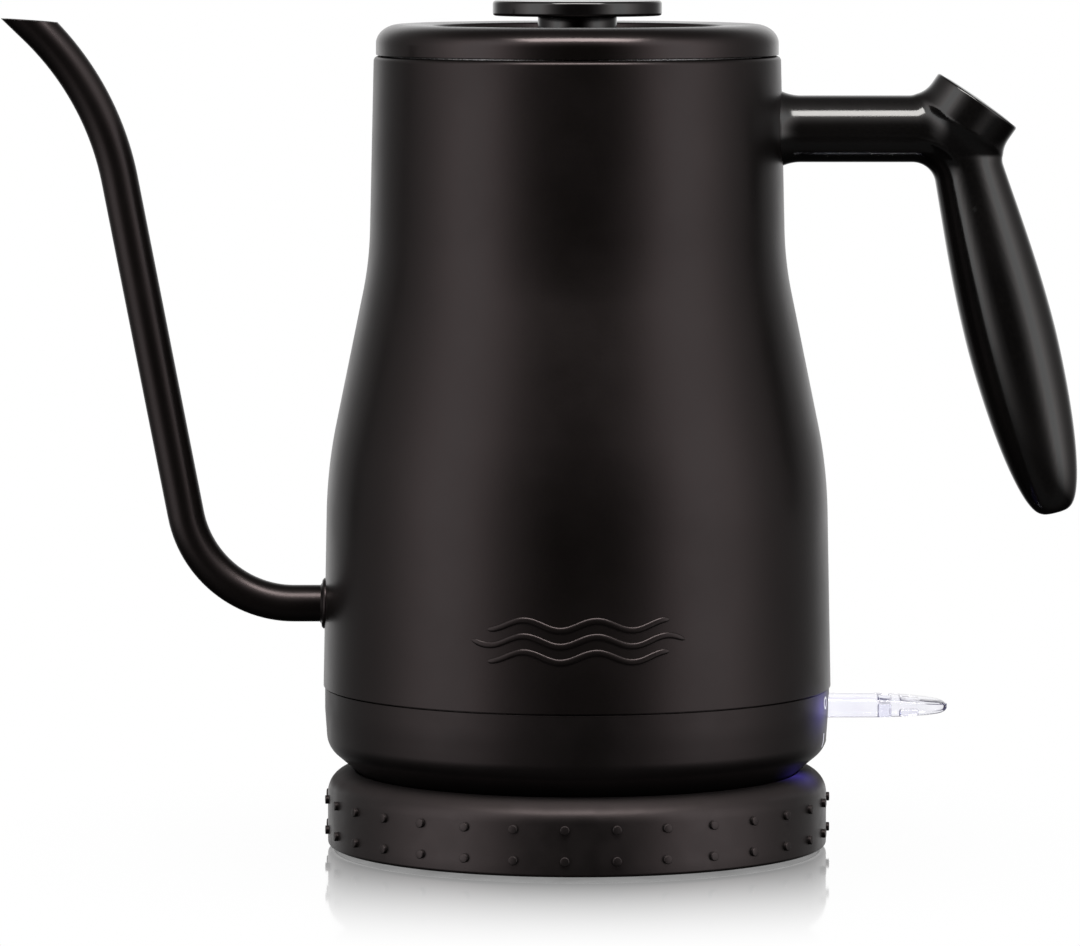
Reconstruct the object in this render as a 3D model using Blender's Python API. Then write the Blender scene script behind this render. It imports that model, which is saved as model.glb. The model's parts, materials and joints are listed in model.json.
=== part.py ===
"""Gooseneck kettle on its cordless power base, built as an assembly of separate pieces.

Units are metres, +Z is up, and the feet stand on z = 0. The spout points along -X and the
handle along +X. The origin lies midway between the spout's tip and the grip's outer edge,
so the turned bodies share a vertical axis at x = AXIS_X. Every piece is drawn about that
axis, or about its own joint, and placed by an empty.
"""

import math

import bmesh
import bpy
from mathutils import Matrix, Vector

# Overall size, measured from the kettle's vertical axis
SPOUT_REACH = 0.1560
HANDLE_REACH = 0.1358
AXIS_X = (SPOUT_REACH - HANDLE_REACH) / 2

# Clearances
GAP = 0.0003
HOLE_GAP = 0.0003

# Sides of round pieces
LARGE = 32
MEDIUM = 20
SMALL = 12
TINY = 8

# Power base
FOOT_HEIGHT = 0.0008
BAND_RADIUS = 0.0680
BAND_WALL = 0.0016
SHOULDER_RADIUS = 0.0063
CREST_Z = 0.0212
LIP_RADIUS = 0.0604
DECK_Z = 0.0155
DECK_WALL = 0.0018
PLATE_WALL = 0.0020
STUDS_PER_ROW = 31
STUD_ROWS_Z = (0.0051, 0.0134)
STUD_RADIUS = 0.0012
STUD_HEIGHT = 0.0010
STUD_PHASE = math.radians(-3.0)
CORD_HOLE_RADIUS = 0.0036
CORD_HOLE_Z = 0.0072

# Swivelling power plug in the middle of the base
PLUG_RADIUS = 0.0158
PLUG_TOP = 0.0270
PLUG_FLANGE_RADIUS = 0.0190

# Kettle body
SEAM_Z = 0.0442
SHELL_TOP = 0.2153
SHELL_WALL = 0.0009
SHELL_RADIUS = 0.0691
BELLY_CORNER = (0.0679, 0.1037, 0.133)
NECK_CORNER = (0.0564, 0.1598, 0.096)
TOP_RADIUS = 0.0551
MOUTH_RADIUS = 0.0515
CUP_RADIUS = 0.0687
CUP_CORNER = (0.0680, 0.0278, 0.007)
CUP_WALL = 0.0020
CUP_BOTTOM = 0.0163
HEATER_Z = 0.0500

# Spout
SPOUT_RADIUS = 0.0050
SPOUT_WALL = 0.0007
SPOUT_Z = 0.0664
SPOUT_LEAN = math.radians(10.9)
SPOUT_TIP_LEAN = math.radians(46.0)
SPOUT_CORNER_X = -0.1018
SPOUT_LOWER_BEND = 0.0299
SPOUT_UPPER_BEND = 0.0780
SPOUT_UPPER_BEND_Z = 0.1818
SPOUT_TIP_Z = 0.2248
SPOUT_CUT_TILT = math.radians(4.0)

# Handle
ARM_Z = 0.1956
ARM_RADIUS = 0.00905
ARM_FLARE = 0.00105
HANDLE_CORNER_X = 0.1031
HANDLE_BEND = 0.0160
GRIP_LEAN = math.radians(14.6)
GRIP_START = 0.0060
GRIP_WIDEST = 0.0586
GRIP_LENGTH = 0.1079
GRIP_SWELL = 0.0032
GRIP_RISE_POWER = 1.2
GRIP_TAPER = 0.30
GRIP_TAPER_POWER = 1.6
GRIP_END_POWER = 4.0
STUB_RADIUS = 0.0129
STUB_RIM = 0.0013
STUB_LENGTH = 0.0094
STUB_TILT = math.radians(55.1)

# Lid and knob
LID_RADIUS = 0.0545
LID_EDGE_Z = 0.2156
LID_CREST_Z = 0.2239
LID_SHOULDER = (0.0065, 0.0052)
DISH_RADIUS = 0.0393
DISH_FLOOR_Z = 0.2135
SKIRT_RADIUS = 0.0500
SKIRT_BOTTOM = 0.2040
KNOB_RADIUS = 0.0229
KNOB_TOP = 0.2303
KNOB_THICKNESS = 0.0041
STEM_RADIUS = 0.0107

# Switch lever and the rocker that it trips
LEVER_PIVOT = (0.0420, 0.0385)
LEVER_TIP_X = 0.1010
LEVER_TAIL_X = 0.0345
LEVER_WIDTH = 0.0150
LEVER_THICKNESS = 0.0058
ROCKER_PIVOT = (0.0260, 0.0385)
STEAM_TUBE_X = 0.0450

SHARP_ANGLE = math.radians(32.0)
MERGE_DISTANCE = 1e-6


# ---------------------------------------------------------------- drawing helpers

def clear_scene():
    for obj in list(bpy.data.objects):
        bpy.data.objects.remove(obj, do_unlink=True)


def finish(name, colour, roughness, metallic=0.0):
    """A Principled material with one colour, roughness and metallic value."""
    material = bpy.data.materials.new(name)
    material.use_nodes = True
    shader = material.node_tree.nodes["Principled BSDF"]
    shader.inputs["Base Color"].default_value = (*colour, 1.0)
    shader.inputs["Roughness"].default_value = roughness
    shader.inputs["Metallic"].default_value = metallic
    return material


def empty(name, x=0.0, z=0.0, parent=None):
    """An empty that carries one rigid group of pieces, placed on that group's joint axis."""
    holder = bpy.data.objects.new(name, None)
    holder.location = (x, 0.0, z)
    holder.parent = parent
    bpy.context.scene.collection.objects.link(holder)
    return holder


def solid(name, bm, material, parent, location=(0, 0, 0), rotation=(0, 0, 0)):
    """Turn a closed bmesh into a smooth-shaded object."""
    bmesh.ops.remove_doubles(bm, verts=bm.verts, dist=MERGE_DISTANCE)
    bmesh.ops.recalc_face_normals(bm, faces=bm.faces)
    mesh = bpy.data.meshes.new(name)
    bm.to_mesh(mesh)
    bm.free()
    mesh.shade_smooth()
    mesh.set_sharp_from_angle(angle=SHARP_ANGLE)
    if material:
        mesh.materials.append(material)
    return place(name, mesh, parent, location, rotation)


def place(name, mesh, parent, location=(0, 0, 0), rotation=(0, 0, 0)):
    obj = bpy.data.objects.new(name, mesh)
    obj.parent = parent
    obj.location = location
    obj.rotation_euler = rotation
    bpy.context.scene.collection.objects.link(obj)
    return obj


def combine(obj, tool, operation):
    """Boolean with a hidden tool object that rides on the same parent."""
    tool.hide_render = True
    tool.display_type = "WIRE"
    modifier = obj.modifiers.new(operation.lower(), "BOOLEAN")
    modifier.operation = operation
    modifier.solver = "EXACT"
    modifier.object = tool


def cut(obj, tool):
    combine(obj, tool, "DIFFERENCE")


def join(obj, tool):
    combine(obj, tool, "UNION")


def arc(centre, radius, start, end, steps):
    """Points on a circle in a plane, from one angle to another."""
    points = []
    for step in range(steps + 1):
        angle = start + (end - start) * step / steps
        points.append((centre[0] + radius * math.cos(angle), centre[1] + radius * math.sin(angle)))
    return points


def round_corner(before, corner, after, radius, steps):
    """The arc that replaces one corner of an outline."""
    corner = Vector(corner)
    back = (Vector(before) - corner).normalized()
    ahead = (Vector(after) - corner).normalized()
    half = back.angle(ahead) / 2
    centre = corner + (back + ahead).normalized() * radius / math.sin(half)
    start = corner + back * radius / math.tan(half) - centre
    turn = (math.pi - 2 * half) * math.copysign(1.0, back.x * ahead.y - back.y * ahead.x)
    points = []
    for step in range(steps + 1):
        angle = -turn * step / steps
        x = start.x * math.cos(angle) - start.y * math.sin(angle)
        y = start.x * math.sin(angle) + start.y * math.cos(angle)
        points.append((centre.x + x, centre.y + y))
    return points


def outline(corners, closed, steps=3):
    """Outline points from corners; a third value on a corner is its fillet radius."""
    points = []
    count = len(corners)
    for index, corner in enumerate(corners):
        inner = closed or 0 < index < count - 1
        if len(corner) == 2 or not inner:
            points.append(tuple(corner[:2]))
            continue
        before = corners[index - 1][:2]
        after = corners[(index + 1) % count][:2]
        points.extend(round_corner(before, corner[:2], after, corner[2], steps))
    return points


def turned_bmesh(corners, sides, steps=3):
    """Spin an outline of (radius, height) corners about Z into a closed body.

    An outline that starts and ends on the axis is spun open, and any other is a ring.
    """
    ring = corners[0][0] > 0
    points = outline(corners, ring, steps)
    bm = bmesh.new()
    verts = [bm.verts.new((radius, 0.0, height)) for radius, height in points]
    edges = [bm.edges.new(pair) for pair in zip(verts, verts[1:])]
    if ring:
        edges.append(bm.edges.new((verts[-1], verts[0])))
    bmesh.ops.spin(bm, geom=verts + edges, axis=(0, 0, 1), cent=(0, 0, 0),
                   angle=2 * math.pi, steps=sides, use_merge=True)
    return bm


def turned(name, corners, sides, material, parent, steps=3, location=(0, 0, 0), rotation=(0, 0, 0)):
    bm = turned_bmesh(corners, sides, steps)
    return solid(name, bm, material, parent, location, rotation)


def tube_corners(inner, outer, bottom, top):
    return [(inner, bottom), (outer, bottom), (outer, top), (inner, top)]


def rod_corners(radius, bottom, top):
    return [(0, bottom), (radius, bottom), (radius, top), (0, top)]


def prism(name, points, depth, material, parent, location=(0, 0, 0), rotation=(0, 0, 0), bevel=0.0):
    """Extrude a flat outline along its own +Z."""
    bm = bmesh.new()
    face = bm.faces.new([bm.verts.new((x, y, 0.0)) for x, y in points])
    extruded = bmesh.ops.extrude_face_region(bm, geom=[face])["geom"]
    moved = [item for item in extruded if isinstance(item, bmesh.types.BMVert)]
    bmesh.ops.translate(bm, vec=(0, 0, depth), verts=moved)
    if bevel:
        bmesh.ops.bevel(bm, geom=bm.edges[:], offset=bevel, segments=2, profile=0.5, affect="EDGES")
    return solid(name, bm, material, parent, location, rotation)


def box(name, low, high, material, parent, bevel=0.0):
    """A block between two corners."""
    points = [(low[0], low[1]), (high[0], low[1]), (high[0], high[1]), (low[0], high[1])]
    return prism(name, points, high[2] - low[2], material, parent, location=(0, 0, low[2]), bevel=bevel)


def rods(name, places, parent, sides=TINY):
    """Several upright cylinders as one tool: each place is (x, y, radius, bottom, top)."""
    bm = bmesh.new()
    for x, y, radius, bottom, top in places:
        middle = Matrix.Translation((x, y, (bottom + top) / 2))
        bmesh.ops.create_cone(bm, cap_ends=True, segments=sides, radius1=radius,
                              radius2=radius, depth=top - bottom, matrix=middle)
    return solid(name, bm, None, parent)


def around(radius, degrees):
    angle = math.radians(degrees)
    return radius * math.cos(angle), radius * math.sin(angle)


def swept_bmesh(stations, sides, hollow=False):
    """Bridge circles along a path in the XZ plane.

    Each station is (centre, direction, radius). A solid sweep is capped at both ends, and a
    hollow one has its first and last circles joined, outside going out and bore coming back.
    """
    bm = bmesh.new()
    loops = []
    for centre, direction, radius in stations:
        along = Vector((direction[0], 0.0, direction[1])).normalized()
        across = Vector((0.0, 1.0, 0.0)).cross(along)
        turn = Matrix((across, (0.0, 1.0, 0.0), along)).transposed().to_4x4()
        where = Matrix.Translation((centre[0], 0.0, centre[1])) @ turn
        made = bmesh.ops.create_circle(bm, cap_ends=False, segments=sides, radius=radius, matrix=where)
        loops.append(made["verts"])
    pairs = list(zip(loops, loops[1:]))
    if hollow:
        pairs.append((loops[-1], loops[0]))
    for first, second in pairs:
        chosen = set(first) | set(second)
        links = {edge for vert in chosen for edge in vert.link_edges}
        same = [edge for edge in links if {*edge.verts} <= set(first) or {*edge.verts} <= set(second)]
        bmesh.ops.bridge_loops(bm, edges=same)
    if not hollow:
        bm.faces.new(loops[0])
        bm.faces.new(loops[-1])
    return bm


def screw(name, mesh_of, place_at, length, head_radius, shank_radius, material, parent, rotation=(0, 0, 0)):
    """A socket-head screw, head down at its origin and shank along its own +Z."""
    if mesh_of:
        return place(name, mesh_of.data, parent, place_at, rotation)
    head = head_radius * 0.35
    corners = [(0, head * 0.6), (head_radius * 0.5, head * 0.6), (head_radius * 0.5, 0),
               (head_radius, 0), (head_radius, head), (shank_radius, head),
               (shank_radius, length), (0, length)]
    return turned(name, corners, TINY, material, parent, location=place_at, rotation=rotation)


# ---------------------------------------------------------------- power base

def build_base(holder, finishes):
    build_grip_band(holder, finishes)
    build_base_shell(holder, finishes)
    build_base_plate(holder, finishes)
    build_cord_clamp(holder, finishes)


def cord_hole(name, holder):
    """Tool that bores the cord's outlet through the back wall of the base."""
    corners = rod_corners(CORD_HOLE_RADIUS, 0.056, 0.072)
    return turned(name, corners, SMALL, None, holder, location=(0, 0, CORD_HOLE_Z),
                  rotation=(-math.pi / 2, 0, 0))


def build_grip_band(holder, finishes):
    """Soft sleeve around the base, with two rows of round studs."""
    inner = BAND_RADIUS - BAND_WALL
    centre = (BAND_RADIUS - SHOULDER_RADIUS, CREST_Z - SHOULDER_RADIUS)
    corners = [(inner, FOOT_HEIGHT), (BAND_RADIUS - 0.0008, FOOT_HEIGHT), (BAND_RADIUS, FOOT_HEIGHT + 0.0008)]
    corners += arc(centre, SHOULDER_RADIUS, 0, math.pi / 2, 5)
    corners += [(LIP_RADIUS + 0.0006, CREST_Z), (LIP_RADIUS, CREST_Z - 0.0006), (LIP_RADIUS, CREST_Z - BAND_WALL)]
    corners += arc(centre, SHOULDER_RADIUS - BAND_WALL, math.pi / 2, 0, 3)
    band = turned("grip_band", corners, LARGE, finishes["rubber"], holder)
    join(band, stud_tool(holder))
    cut(band, cord_hole("band_cord_hole", holder))


def stud_tool(holder):
    """Both rows of studs, each a short cylinder that points straight out."""
    bm = bmesh.new()
    depth = STUD_HEIGHT + 0.0009
    middle = BAND_RADIUS + STUD_HEIGHT - depth / 2
    for row in STUD_ROWS_Z:
        for index in range(STUDS_PER_ROW):
            turn = Matrix.Rotation(STUD_PHASE + 2 * math.pi * index / STUDS_PER_ROW, 4, "Z")
            out = Matrix.Translation((0, -middle, row)) @ Matrix.Rotation(math.pi / 2, 4, "X")
            bmesh.ops.create_cone(bm, cap_ends=True, segments=6, radius1=STUD_RADIUS,
                                  radius2=STUD_RADIUS, depth=depth, matrix=turn @ out)
    return solid("stud_tool", bm, None, holder)


def build_base_shell(holder, finishes):
    """Hard shell with the well that the kettle sits in, and posts for the base screws."""
    radius = BAND_RADIUS - BAND_WALL - GAP
    centre = (BAND_RADIUS - SHOULDER_RADIUS, CREST_Z - SHOULDER_RADIUS)
    shoulder = SHOULDER_RADIUS - BAND_WALL - GAP
    bottom = FOOT_HEIGHT + PLATE_WALL + GAP
    under = DECK_Z - DECK_WALL
    well = LIP_RADIUS - 0.0008
    corners = [(radius, bottom)]
    corners += arc(centre, shoulder, 0, math.pi / 2, 3)
    corners += [(well, CREST_Z - BAND_WALL - GAP), (well, DECK_Z), (PLUG_RADIUS + 0.0010, DECK_Z)]
    corners += [(PLUG_RADIUS + 0.0010, under), (radius - 0.0019, under), (radius - 0.0019, bottom)]
    shell = turned("base_shell", corners, LARGE, finishes["base_plastic"], holder)
    spots = base_screw_spots()
    join(shell, rods("base_posts", [(x, y, 0.0035, bottom, under + 0.0005) for x, y in spots], holder))
    cut(shell, rods("base_post_holes", [(x, y, 0.0016, bottom - 0.001, 0.0118) for x, y in spots], holder))
    cut(shell, cord_hole("shell_cord_hole", holder))


def base_screw_spots():
    return [around(0.0470, degrees) for degrees in (30, 150, 270)]


def foot_spots():
    return [around(0.0520, degrees) for degrees in (45, 135, 225, 315)]


def build_base_plate(holder, finishes):
    """Bottom plate with its feet and screws."""
    radius = BAND_RADIUS - BAND_WALL - GAP
    top = FOOT_HEIGHT + PLATE_WALL
    pocket = FOOT_HEIGHT + 0.0011
    plate = turned("base_bottom_plate", rod_corners(radius, FOOT_HEIGHT, top), LARGE,
                   finishes["base_plastic"], holder)
    posts = [(x, 0.0500, 0.0028, top - 0.0005, 0.0060) for x in (-0.0082, 0.0082)]
    join(plate, rods("clamp_posts", posts, holder))
    holes = [(x, y, 0.0030, 0, FOOT_HEIGHT + 0.0011) for x, y in base_screw_spots()]
    cut(plate, rods("plate_counterbores", holes, holder))
    holes = [(x, y, 0.0016, 0, top + 0.001) for x, y in base_screw_spots()]
    cut(plate, rods("plate_holes", holes, holder))
    holes = [(x, 0.0500, 0.0012, 0.0035, 0.0070) for x in (-0.0082, 0.0082)]
    cut(plate, rods("clamp_post_holes", holes, holder))
    recesses = [(x, y, 0.0058, 0, pocket) for x, y in foot_spots()]
    cut(plate, rods("foot_recesses", recesses, holder, SMALL))
    first_foot = None
    for number, (x, y) in enumerate(foot_spots(), 1):
        name = f"base_foot_{number}"
        if first_foot:
            place(name, first_foot.data, holder, (x, y, 0))
        else:
            corners = [(0, 0), (0.0050, 0), (0.0055, 0.0005), (0.0055, pocket - GAP), (0, pocket - GAP)]
            first_foot = turned(name, corners, SMALL, finishes["rubber"], holder, location=(x, y, 0))
    first_screw = None
    for number, (x, y) in enumerate(base_screw_spots(), 1):
        made = screw(f"base_screw_{number}", first_screw, (x, y, FOOT_HEIGHT + 0.0001), 0.0095,
                     0.0025, 0.0013, finishes["steel"], holder)
        first_screw = first_screw or made


def build_cord_clamp(holder, finishes):
    """Bar that holds the cord down just inside its outlet, with two screws."""
    groove = arc((0, 0), CORD_HOLE_RADIUS, math.pi, 0, 6)
    half = 0.0115
    points = [(-half, 0.0), *groove, (half, 0.0), (half, 0.0046), (-half, 0.0046)]
    clamp = prism("cord_clamp", points, 0.008, finishes["base_plastic"], holder,
                  location=(0, 0.0540, CORD_HOLE_Z), rotation=(math.pi / 2, 0, 0))
    holes = [(x, 0.0500, 0.0012, 0.0060, 0.0130) for x in (-0.0082, 0.0082)]
    cut(clamp, rods("clamp_holes", holes, holder))
    first = None
    for number, x in enumerate((-0.0082, 0.0082), 1):
        made = screw(f"clamp_screw_{number}", first, (x, 0.0500, CORD_HOLE_Z + 0.0058), 0.0085,
                     0.0022, 0.0009, finishes["steel"], holder, rotation=(math.pi, 0, 0))
        first = first or made


# ---------------------------------------------------------------- power plug

def build_plug(holder, finishes):
    """Round plug that the kettle drops onto and turns about."""
    flange_top = DECK_Z - DECK_WALL - 0.0005
    corners = [(0, 0.0060), (0.0120, 0.0060), (0.0120, 0.0090), (PLUG_FLANGE_RADIUS, 0.0090),
               (PLUG_FLANGE_RADIUS, flange_top), (PLUG_RADIUS, flange_top), (PLUG_RADIUS, 0.0190),
               (0.0150, 0.0190), (0.0150, 0.0240), (PLUG_RADIUS, 0.0240),
               (PLUG_RADIUS, PLUG_TOP - 0.0008), (PLUG_RADIUS - 0.0008, PLUG_TOP),
               (0.0112, PLUG_TOP), (0.0112, 0.0150), (0.0080, 0.0150), (0.0080, PLUG_TOP),
               (0.0042, PLUG_TOP), (0.0042, 0.0140), (0, 0.0140)]
    turned("plug_housing", corners, MEDIUM, finishes["base_plastic"], holder)
    turned("plug_earth_ring", tube_corners(0.0153, 0.0161, 0.0193, 0.0237), MEDIUM, finishes["steel"], holder)
    turned("plug_contact_ring", tube_corners(0.0103, 0.0109, 0.0153, 0.0260), MEDIUM, finishes["brass"], holder)
    pin = [(0, 0.0143), (0.0015, 0.0143), (0.0015, 0.0256), (0.0008, 0.0263), (0, 0.0263)]
    turned("plug_center_pin", pin, TINY, finishes["brass"], holder)


# ---------------------------------------------------------------- kettle body

def shell_corners(offset):
    """Outer corners of the vessel, moved inwards by an offset, from the seam up."""
    belly_radius, belly_z, belly_round = BELLY_CORNER
    neck_radius, neck_z, neck_round = NECK_CORNER
    return [(SHELL_RADIUS - offset, SEAM_Z), (belly_radius - offset, belly_z, belly_round - offset),
            (neck_radius - offset, neck_z, neck_round + offset)]


def build_vessel(holder, finishes):
    """Drawn steel body with its turned-in mouth, and the holes for the spout and the handle."""
    lip = SHELL_WALL
    corners = shell_corners(0)
    corners += [(TOP_RADIUS, SHELL_TOP - 0.0012), (TOP_RADIUS - 0.0004, SHELL_TOP - 0.0004),
                (TOP_RADIUS - 0.0012, SHELL_TOP), (MOUTH_RADIUS, SHELL_TOP),
                (MOUTH_RADIUS, SHELL_TOP - 0.0048), (MOUTH_RADIUS + lip, SHELL_TOP - 0.0048),
                (MOUTH_RADIUS + lip, SHELL_TOP - lip), (TOP_RADIUS - lip, SHELL_TOP - lip)]
    corners += reversed(shell_corners(SHELL_WALL))
    shell = turned("vessel_shell", corners, LARGE, finishes["black_paint"], holder)
    spout_hole = rod_corners(SPOUT_RADIUS + HOLE_GAP, 0.060, 0.075)
    cut(shell, turned("shell_spout_hole", spout_hole, SMALL, None, holder, location=(0, 0, SPOUT_Z),
                      rotation=(0, -math.pi / 2, 0)))
    screw_hole = rod_corners(0.0023, 0.050, 0.060)
    cut(shell, turned("shell_screw_hole", screw_hole, TINY, None, holder, location=(0, 0, ARM_Z),
                      rotation=(0, math.pi / 2, 0)))


def build_bottom_cup(holder, finishes):
    """Plastic cup under the vessel that holds the heater, the switch and the socket."""
    inner = CUP_RADIUS - 0.0028
    spigot = SHELL_RADIUS - SHELL_WALL - 0.0004
    top = SEAM_Z - GAP
    floor = CUP_BOTTOM + CUP_WALL
    corners = [(0.0205, CUP_BOTTOM), (0.0543, CUP_BOTTOM, 0.006), CUP_CORNER,
               (CUP_RADIUS, 0.0380), (CUP_RADIUS, top), (spigot, top), (spigot, top + 0.0031),
               (inner, top + 0.0031), (inner, 0.0290), (0.0533, floor), (0.0205, floor)]
    cup = turned("bottom_cup", corners, LARGE, finishes["black_plastic"], holder)
    half = LEVER_WIDTH / 2 + 0.0009
    cut(cup, box("lever_slot", (0.0600, -half, 0.0294), (0.0720, half, 0.0420), None, holder))
    heads = [(x, y, 0.0031, 0.0100, CUP_BOTTOM + 0.0011) for x, y in cup_screw_spots()]
    cut(cup, rods("cup_counterbores", heads, holder))
    holes = [(x, y, 0.0017, 0.0100, floor + 0.001) for x, y in cup_screw_spots()]
    cut(cup, rods("cup_holes", holes, holder))
    first = None
    for number, (x, y) in enumerate(cup_screw_spots(), 1):
        made = screw(f"cup_screw_{number}", first, (x, y, CUP_BOTTOM + 0.0001), 0.0120,
                     0.0027, 0.0014, finishes["steel"], holder)
        first = first or made


def cup_screw_spots():
    return [around(0.0475, degrees) for degrees in (60, 180, 300)]


def build_heater(holder, finishes):
    """Floor of the vessel with the heat spreader, the element and its terminals below it."""
    rim = SHELL_RADIUS - SHELL_WALL - 0.0004
    corners = [(0, HEATER_Z), (rim - 0.0012, HEATER_Z), (rim - 0.0012, HEATER_Z - 0.0020),
               (rim, HEATER_Z - 0.0020), (rim, HEATER_Z + 0.0012), (0, HEATER_Z + 0.0012)]
    floor = turned("heating_plate", corners, LARGE, finishes["steel"], holder)
    tube_hole = [(STEAM_TUBE_X, 0, 0.0048, HEATER_Z - 0.010, HEATER_Z + 0.010)]
    cut(floor, rods("plate_tube_hole", tube_hole, holder, SMALL))
    bottom = HEATER_Z - 0.0035
    spreader = turned("heat_spreader", rod_corners(0.0550, bottom, HEATER_Z - GAP), MEDIUM,
                      finishes["aluminium"], holder)
    posts = [(x, y, 0.0035, 0.0186, bottom + 0.0005) for x, y in cup_screw_spots()]
    join(spreader, rods("spreader_posts", posts, holder))
    holes = [(x, y, 0.0017, 0.0150, 0.0310) for x, y in cup_screw_spots()]
    cut(spreader, rods("spreader_post_holes", holes, holder))
    tube_hole = [(STEAM_TUBE_X, 0, 0.0060, bottom - 0.005, HEATER_Z + 0.005)]
    cut(spreader, rods("spreader_tube_hole", tube_hole, holder, SMALL))
    build_element(bottom, holder, finishes)


def build_element(spreader_bottom, holder, finishes):
    """Open ring of sheathed heating element, and the two pins that feed it."""
    ring_radius = 0.0360
    thickness = 0.0029
    height = spreader_bottom - thickness - GAP
    opening = math.radians(20)
    bm = bmesh.new()
    start = Matrix.Rotation(opening, 4, "Z") @ Matrix.Translation((ring_radius, 0, 0))
    made = bmesh.ops.create_circle(bm, cap_ends=True, segments=TINY, radius=thickness,
                                   matrix=start @ Matrix.Rotation(math.pi / 2, 4, "X"))
    faces = made["verts"][0].link_faces[:]
    bmesh.ops.spin(bm, geom=faces, axis=(0, 0, 1), cent=(0, 0, 0),
                   angle=2 * math.pi - 2 * opening, steps=20)
    solid("heating_element", bm, finishes["steel"], holder, location=(0, 0, height))
    inset = opening + math.radians(4)
    for number, side in enumerate((-1, 1), 1):
        x = ring_radius * math.cos(inset)
        y = side * ring_radius * math.sin(inset)
        turned(f"element_terminal_{number}", rod_corners(0.0012, 0.0330, height - thickness - GAP),
               TINY, finishes["brass"], holder, location=(x, y, 0))


def build_controls(holder, finishes):
    """Socket that drops over the plug, and the thermostat block above it."""
    roof = 0.0284
    corners = [(0.0172, 0.0166), (0.0200, 0.0166), (0.0200, 0.0187), (0.0240, 0.0187),
               (0.0240, 0.0205), (0.0200, 0.0205), (0.0200, roof + 0.0020), (0.0034, roof + 0.0020),
               (0.0034, roof), (0.0172, roof)]
    turned("kettle_socket", corners, MEDIUM, finishes["black_plastic"], holder)
    turned("socket_pin_contact", tube_corners(0.0021, 0.0031, 0.0185, 0.0281), SMALL, finishes["brass"], holder)
    turned("socket_ring_contact", tube_corners(0.0086, 0.0094, 0.0185, 0.0281), SMALL, finishes["brass"], holder)
    box("control_housing", (-0.0200, -0.0170, 0.0307), (0.0200, 0.0170, 0.0372), finishes["black_plastic"],
        holder, bevel=0.0010)
    dome = [(0, 0.0), (0.0075, 0.0), (0.0075, 0.0005), (0.0040, 0.0011), (0, 0.0013)]
    first = None
    for number, y in enumerate((-0.0085, 0.0085), 1):
        where = (-0.0080, y, 0.0376)
        if first:
            place(f"bimetal_disc_{number}", first.data, holder, where)
        else:
            first = turned(f"bimetal_disc_{number}", dome, SMALL, finishes["steel"], holder, location=where)


def build_lever_mount(holder, finishes):
    """Channel that carries the lever's and the rocker's pins, and the lamp below the lever."""
    inner = LEVER_WIDTH / 2 + 0.0008
    outer = inner + 0.0016
    points = [(-outer, 0), (outer, 0), (outer, 0.0112), (inner, 0.0112), (inner, 0.0015),
              (-inner, 0.0015), (-inner, 0.0112), (-outer, 0.0112)]
    start = ROCKER_PIVOT[0] - 0.0040
    length = LEVER_PIVOT[0] + 0.0045 - start
    channel = prism("lever_bracket", points, length, finishes["black_plastic"], holder,
                    location=(start, 0, 0.0300), rotation=(math.pi / 2, 0, math.pi / 2))
    for name, pivot, radius in (("lever_pin_hole", LEVER_PIVOT, 0.0015), ("rocker_pin_hole", ROCKER_PIVOT, 0.0012)):
        bore = turned(name, rod_corners(radius + HOLE_GAP, -0.0150, 0.0150), TINY, None, holder,
                      location=(pivot[0], 0, pivot[1]), rotation=(math.pi / 2, 0, 0))
        cut(channel, bore)
    for name, pivot, radius in (("lever_pin", LEVER_PIVOT, 0.0015), ("rocker_pin", ROCKER_PIVOT, 0.0012)):
        turned(name, rod_corners(radius, -outer, outer), TINY, finishes["steel"], holder,
               location=(pivot[0], 0, pivot[1]), rotation=(math.pi / 2, 0, 0))
    box("lamp_board", (0.0490, -0.0060, 0.0272), (0.0590, 0.0060, 0.0284), finishes["board"], holder)
    lamp = [(0, 0.0287), (0.0015, 0.0287), (0.0015, 0.0305), (0.0008, 0.0315), (0, 0.0315)]
    turned("lever_lamp", lamp, TINY, finishes["lamp"], holder, location=(0.0540, 0, 0))


def build_steam_tube(holder, finishes):
    """Tube that leads steam from under the lid down to the thermostat, and its seal."""
    turned("steam_tube", tube_corners(0.0036, 0.0045, 0.0442, 0.1980), SMALL, finishes["steel"], holder,
           location=(STEAM_TUBE_X, 0, 0))
    seal = tube_corners(0.0048, 0.0068, HEATER_Z + 0.0015, HEATER_Z + 0.0032)
    turned("steam_tube_seal", seal, SMALL, finishes["rubber"], holder, location=(STEAM_TUBE_X, 0, 0))


# ---------------------------------------------------------------- spout

def bend(corner, heading_in, heading_out, radius, steps):
    """Stations (point, direction) of a bend between two straight runs that meet at a corner."""
    first = Vector(heading_in).normalized()
    last = Vector(heading_out).normalized()
    turn = first.angle(last)
    sign = math.copysign(1.0, first.x * last.y - first.y * last.x)
    start = Vector(corner) - first * radius * math.tan(turn / 2)
    side = Vector((-first.y, first.x)) * sign
    centre = start + side * radius
    stations = []
    for step in range(steps + 1):
        angle = turn * step / steps
        heading = first * math.cos(angle) + side * math.sin(angle)
        point = centre + (first * math.sin(angle) - side * math.cos(angle)) * radius
        stations.append((tuple(point), tuple(heading)))
    return stations


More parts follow.
